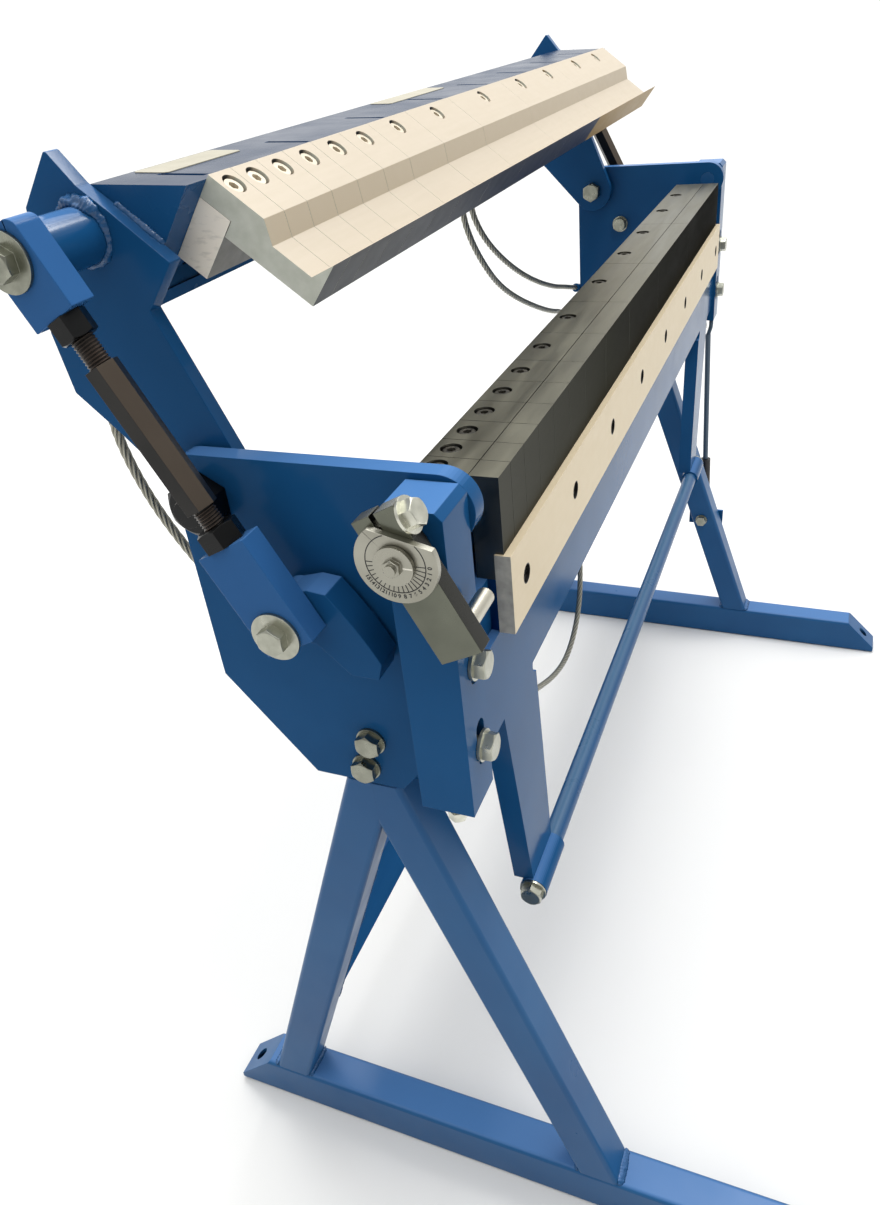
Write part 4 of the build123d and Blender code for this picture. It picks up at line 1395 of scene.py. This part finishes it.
@dataclass
class StayRod:
    """Upper end of the right-hand rod, set aside to pass the height screw, and the bolts of its clip."""

    tip: tuple[Triple, ...] = (
        (590.0, -9.1, -257.0), (590.6, -9.3, -251.5), (593.5, -10.5, -247.0), (596.6, -11.7, -242.0),
        (597.2, -12.0, -237.0), (597.2, -12.0, -221.4))
    tip_radius: float = 3.5
    tip_sides: int = 20
    leg_inner: float = 520.0
    bolts: tuple[Span, ...] = ((2.0, -495.0), (-25.0, -571.0))
    washer: tuple[float, float, int] = (10.0, 2.0, 28)
    head: tuple[float, float, int] = (9.2, 6.8, 6)

    @staticmethod
    def outline(centre: Vector, radius_mm: float, sides: int, first: Vector, second: Vector) -> list[Vector]:
        """A round or many-sided outline.

        Args:
            centre: Its middle.
            radius_mm: Its radius to the corners.
            sides: Number of corners.
            first: One direction in its plane.
            second: The other direction in its plane.

        Returns:
            Its corners.
        """
        turns = [2 * math.pi * k / sides for k in range(sides)]
        return [turned(centre, radius_mm * MM, turn, first, second) for turn in turns]

    def dress(self) -> None:
        """Carries the rod on to just under the bracket, and adds the bolts inside the right front leg."""
        across, along, up = Vector((1, 0, 0)), Vector((0, 1, 0)), Vector((0, 0, 1))
        rings = [self.outline(at(*place), self.tip_radius, self.tip_sides, across, along)
                 for place in self.tip]
        put("stay_rod_tip", loft(rings), ROD_STEEL, Body.FRAME)
        parts = []
        for y, z in self.bolts:
            seat = self.leg_inner
            for radius, height, sides in (self.washer, self.head):
                outline = self.outline(at(seat, y, z), radius, sides, along, up)
                parts.append(prism(outline, across * (-height * MM)))
                seat -= height
        put("stay_bolts", gathered(parts), GREY_ZINC, Body.FRAME, smooth=False)


@dataclass
class Apron:
    """Welds of the handle arms and threads of the height screws."""

    arm_top: Span = (440.0, 514.0)
    arm_back: float = 4.0
    beam_low: float = -200.0
    jack_x: float = 585.0
    jack_radius: float = 4.0
    jack_span: Span = (-231.8, -220.2)

    def dress(self) -> None:
        """Adds the beads under the folding beam and the threads."""
        bead = WeldBead(leg_mm=4.5, lump=0.35)
        thread = ThreadRidge(pitch_mm=1.25, height_mm=0.4)
        for side in Side:
            inner, outer = (at(side.value * x, self.arm_back, self.beam_low) for x in self.arm_top)
            bead.straight(f"handle_weld_{side.word}", inner, outer, (0, 1, 0), (0, 0, -1), Body.APRON)
            low, high = (at(side.value * self.jack_x, 0, z) for z in self.jack_span)
            thread.lay(f"jack_thread_{side.word}", low, high, self.jack_radius, ZINC, Body.BRACKETS)


@dataclass
class StopDial:
    """Marks of the angle dial: a ring line, graduations, plain numbers and the hub's index line."""

    face_x: float = -627.0
    hub_face_x: float = -630.5
    ring_radius: float = 18.7
    ring_width: float = 0.6
    ring_steps: int = 120
    marks_from: float = 12.8
    mark_width: float = 0.5
    mark_step_deg: int = 10
    last_mark_deg: int = 180
    index_span: Span = (6.2, 12.2)
    index_width: float = 0.9
    number_radius: float = 21.3
    number_size: float = 3.7
    number_weight: float = 0.13
    last_number: int = 15
    flat_tilt_deg: float = 14.0
    flat_half_deg: float = 31.0
    height: float = 0.12

    @property
    def rise(self) -> Vector:
        """Thickness of the paint, away from the dial."""
        return Vector((-self.height * MM, 0, 0))

    @staticmethod
    def outward(turn: float) -> Vector:
        """Unit direction on the dial, turned from straight forward down and to the rear."""
        return Vector((0, -math.cos(turn), -math.sin(turn)))

    def spoke(self, turn: float, span: Span, width: float, x: float) -> Form:
        """A straight line on a face, pointing away from the axis.

        Args:
            turn: Its angle in radians.
            span: Its inner and outer radius in millimetres.
            width: Its width.
            x: Station of the face.

        Returns:
            Points and faces.
        """
        along = self.outward(turn)
        side = along.cross(Vector((1, 0, 0))) * (width / 2 * MM)
        near, far = (at(x, 0, 0) + along * (r * MM) for r in span)
        return prism([near - side, far - side, far + side, near + side], self.rise)

    def ring_line(self) -> Form:
        """The engraved ring, open where the dial is cut flat.

        Returns:
            Points and faces.
        """
        half = math.radians(self.flat_half_deg)
        first = half - math.radians(90 - self.flat_tilt_deg)
        radii = [(self.ring_radius + way * self.ring_width / 2) * MM for way in (-1, 1)]
        rings = []
        for k in range(self.ring_steps + 1):
            along = self.outward(first + (2 * math.pi - 2 * half) * k / self.ring_steps)
            inner, outer = (at(self.face_x, 0, 0) + along * radius for radius in radii)
            rings.append([inner, outer, outer + self.rise, inner + self.rise])
        return loft(rings)

    def number(self, value: int, turn: float) -> Form:
        """One plain number, its top toward the axis.

        Args:
            value: The number.
            turn: Its angle in radians.

        Returns:
            Points and faces.
        """
        curve = bpy.data.curves.new(f"number_{value}", "FONT")
        curve.body = str(value)
        curve.size = self.number_size * MM
        curve.offset = self.number_weight * MM
        curve.align_x, curve.align_y = "CENTER", "CENTER"
        curve.extrude = self.height / 2 * MM
        holder = bpy.data.objects.new(curve.name, curve)
        flat = bpy.data.meshes.new_from_object(holder)
        along = self.outward(turn)
        up, toward = -along, Vector((-1, 0, 0))
        stand = Matrix((up.cross(toward), up, toward)).transposed()
        middle = at(self.face_x, 0, 0) + along * (self.number_radius * MM)
        points = [middle + stand @ v.co for v in flat.vertices]
        faces = [tuple(face.vertices) for face in flat.polygons]
        bpy.data.objects.remove(holder)
        return points, faces

    def dress(self) -> None:
        """Adds the dial's marks and the hub's index line."""
        parts = [self.ring_line()]
        for degrees in range(0, self.last_mark_deg + 1, self.mark_step_deg):
            turn = math.radians(degrees)
            parts.append(self.spoke(turn, (self.marks_from, self.ring_radius), self.mark_width, self.face_x))
            value = degrees // self.mark_step_deg
            if value <= self.last_number:
                parts.append(self.number(value, turn))
        put("dial_marks", gathered(parts), MARK_PAINT, Body.STOP, smooth=False)
        index = self.spoke(0.0, self.index_span, self.index_width, self.hub_face_x)
        put("dial_index", index, INDEX_PAINT, Body.FRAME, smooth=False)


@dataclass(frozen=True)
class CeilingLight:
    """A long soft light under the ceiling."""

    name: str
    place: Triple
    size: Span
    watts: float
    aimed_at: Triple = (0, 0.1, 0.7)

    def hang(self) -> None:
        """Creates the light and turns it to the machine."""
        lamp = bpy.data.lights.new(self.name, "AREA")
        lamp.shape = "RECTANGLE"
        lamp.size, lamp.size_y = self.size
        lamp.energy = self.watts
        holder = bpy.data.objects.new(self.name, lamp)
        holder.location = self.place
        aim = Vector(self.aimed_at) - Vector(self.place)
        holder.rotation_euler = aim.to_track_quat("-Z", "Y").to_euler()
        bpy.context.scene.collection.objects.link(holder)


@dataclass
class Studio:
    """Camera at the photographed view, pale floor and soft room light."""

    camera_place: Triple = (-1.024, -0.2136, 1.074)
    heading_deg: float = 64.59
    pitch_deg: float = -32.57
    roll_deg: float = -6.68
    focal_px: float = 924.4
    floor_radius: float = 200.0
    floor_corners: int = 64
    view_depth: float = 600.0
    room: str = "#fdfdfc"
    bright_side: Triple = (0.6, 0.45, 0.66)
    wall_span: Span = (-0.3, 0.45)
    wall_glow: Span = (0.42, 1.05)
    ceiling_span: Span = (0.45, 0.95)
    ceiling_glow: Span = (0.0, 0.9)
    lights: tuple[CeilingLight, ...] = (
        CeilingLight("ceiling_front", (0.1, -0.5, 2.6), (2.4, 0.3), 16.0),
        CeilingLight("ceiling_middle", (0.7, 0.25, 2.7), (2.4, 0.6), 36.0),
    )

    def aim_camera(self) -> None:
        """Creates the camera and makes it the scene's."""
        lens = bpy.data.cameras.new("view")
        lens.sensor_width = SENSOR_MM
        lens.clip_end = self.view_depth
        lens.lens = self.focal_px * SENSOR_MM / max(IMAGE_SIZE)
        camera = bpy.data.objects.new("view", lens)
        bpy.context.scene.collection.objects.link(camera)
        heading, pitch, roll = (math.radians(a) for a in (self.heading_deg, self.pitch_deg, self.roll_deg))
        forward = Vector((math.sin(heading) * math.cos(pitch), math.cos(heading) * math.cos(pitch),
                          math.sin(pitch)))
        level = Vector((math.cos(heading), -math.sin(heading), 0))
        right = level * math.cos(roll) + level.cross(forward) * math.sin(roll)
        stance = Matrix((right, right.cross(forward), -forward)).transposed().to_4x4()
        camera.matrix_world = Matrix.Translation(self.camera_place) @ stance
        bpy.context.scene.camera = camera

    def lay_floor(self) -> None:
        """Round floor that reaches past the view."""
        turns = [2 * math.pi * k / self.floor_corners for k in range(self.floor_corners)]
        rim = [Vector((math.cos(turn), math.sin(turn), 0)) * self.floor_radius for turn in turns]
        floor = bpy.data.objects.new("floor", mesh_of("floor", rim, [range(self.floor_corners)]))
        floor.data.materials.append(FLOOR_PAINT.material())
        bpy.context.scene.collection.objects.link(floor)

    def light_room(self) -> None:
        """Bright room in front and above, dimmer behind the viewer, with long ceiling lights."""
        world = bpy.data.worlds.new("room")
        bpy.context.scene.world = world
        world.use_nodes = True
        tree = world.node_tree
        tree.nodes.clear()
        place = add_node(tree, "ShaderNodeTexCoord").outputs["Generated"]
        toward = add_node(tree, "ShaderNodeVectorMath", {0: place, 1: Vector(self.bright_side).normalized()},
                          operation="DOT_PRODUCT")
        axes = add_node(tree, "ShaderNodeSeparateXYZ", {0: place})
        level = add_node(tree, "ShaderNodeMath", operation="ADD")
        for number, (way, (start, end), (dim, bright)) in enumerate((
            (toward.outputs["Value"], self.wall_span, self.wall_glow),
            (axes.outputs[2], self.ceiling_span, self.ceiling_glow),
        )):
            rise = add_node(tree, "ShaderNodeMapRange", {"Value": way, "From Min": start, "From Max": end,
                                                         "To Min": dim, "To Max": bright})
            feed(tree, level, {number: rise.outputs[0]})
        glow = add_node(tree, "ShaderNodeBackground",
                        {"Color": linear(self.room), "Strength": level.outputs[0]})
        add_node(tree, "ShaderNodeOutputWorld", {"Surface": glow.outputs[0]})
        for light in self.lights:
            light.hang()

    def build(self) -> None:
        """Sets the whole studio."""
        self.aim_camera()
        self.lay_floor()
        self.light_room()
        bpy.context.scene.view_settings.view_transform = "Standard"


# Routes of the wire ropes from their sockets on the clamping beam, in millimetres from the bend line.
ROPE_LONG = [
    (-500, 258, 98), (-500, 281, 68), (-500, 297, 22), (-497, 290, -35), (-490, 270, -95),
    (-472, 243, -165), (-465, 190, -224), (-428, 150, -291), (-371, 113, -349), (-274, 94, -413),
    (-133, 92, -491), (-10, 98, -556), (62, 98, -566), (125, 100, -535), (163, 106, -478),
    (190, 118, -410), (240, 140, -350), (320, 168, -318), (408, 190, -306), (470, 203, -300),
    (506, 211, -283), (530, 216, -246), (522, 219, -208), (490, 219, -186), (430, 219, -169),
    (354, 220, -140), (272, 223, -104), (200, 225, -65), (150, 227, -23), (120, 230, 14),
    (106, 232, 48), (100, 231, 97),
]
ROPE_SHORT = [
    (163, 246, 97), (169, 246, 44), (186, 240, 6), (231, 235, -32), (297, 229, -72), (369, 223, -106),
    (452, 219, -136), (505, 217, -150), (541, 208, -161),
]

# Edges are widest under paint, finer on bars and ground steel, and nearly sharp on honed blades, in mm.
PAINTED_EDGE = 0.8
STRIP_EDGE = 0.6
BAR_EDGE = 0.4
GROUND_EDGE = 0.25
FASTENER_EDGE = 0.2
HONED_EDGE = 0.12
# Small turned and hexagonal parts have edges of less turn than plates and bars.
SMALL_PART_DEG = 24.0
DRESSINGS = (
    Dressing(ENAMEL, PAINTED_EDGE, ("stand_heads", "side_plate", "bed_beam", "stay_bracket", "hinge_bracket",
                                    "apron_beam", "handle_arm", "crank_shaft")),
    Dressing(ARM_ENAMEL, PAINTED_EDGE, ("beam_arm",)),
    Dressing(HANDLE_ENAMEL, PAINTED_EDGE, ("handle_tube",)),
    Dressing(STAND_ENAMEL, PAINTED_EDGE, ("foot", "front_leg", "rear_leg")),
    Dressing(TIE_ENAMEL, PAINTED_EDGE, ("rear_tie",)),
    Dressing(SMALL_PART_ENAMEL, PAINTED_EDGE, ("link_eyes",)),
    Dressing(BEAM_ENAMEL, PAINTED_EDGE, ("beam_box",)),
    Dressing(FINGER_STEEL, GROUND_EDGE, tuple(f"finger_{k:02d}" for k in range(1, 12))),
    Dressing(STRIP_STEEL, STRIP_EDGE, ("clamp_strip",)),
    Dressing(CARRIER_STEEL, BAR_EDGE, ("carrier_bar",)),
    Dressing(BLADE_STEEL, GROUND_EDGE, ("bed_blades",)),
    Dressing(APRON_BLADE_STEEL, HONED_EDGE, ("apron_blades",)),
    Dressing(DULL_ZINC, FASTENER_EDGE, ("upper_pin_bolts", "plate_bolts"), SMALL_PART_DEG),
    Dressing(GREY_ZINC, FASTENER_EDGE, ("lower_pin_bolt", "apron_bolts"), SMALL_PART_DEG),
    Dressing(ZINC, FASTENER_EDGE, ("jack_screws", "stop_bolt"), SMALL_PART_DEG),
    Dressing(SCREW_ZINC, FASTENER_EDGE, ("finger_screws",)),
    Dressing(PIN_STEEL, FASTENER_EDGE, ("axis_pins",), SMALL_PART_DEG),
    Dressing(STOP_STEEL, BAR_EDGE, ("stop_bar",)),
    Dressing(DIAL_STEEL, BAR_EDGE, ("stop_dial",)),
    Dressing(JET_OXIDE, FASTENER_EDGE, ("pivot_nuts", "link_rods", "strip_screws"), SMALL_PART_DEG),
    Dressing(LINK_OXIDE, FASTENER_EDGE, ("turnbuckle",), SMALL_PART_DEG),
    Dressing(ROD_STEEL, FASTENER_EDGE, ("stay_rod",), SMALL_PART_DEG),
    Dressing(RUBBED_OXIDE, FASTENER_EDGE, ("bed_screws",), SMALL_PART_DEG),
)


def main() -> None:
    """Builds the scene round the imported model."""
    logging.basicConfig(level=logging.INFO, format="%(name)s: %(message)s")
    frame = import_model()
    Studio().build()
    WireRope("wire_rope_long", "rope_long", ROPE_LONG, length=2.231).build()
    WireRope("wire_rope_short", "rope_short", ROPE_SHORT, length=0.492).build()
    for dressing in DRESSINGS:
        dressing.apply(frame["nodes"])
    assemblies = (ClampingBeam(), Stand(), BedScrews(), StayRod(), Apron(), StopDial(),
                  *(Toggle(side) for side in Side))
    for assembly in assemblies:
        assembly.dress()


if __name__ == "__main__":
    main()
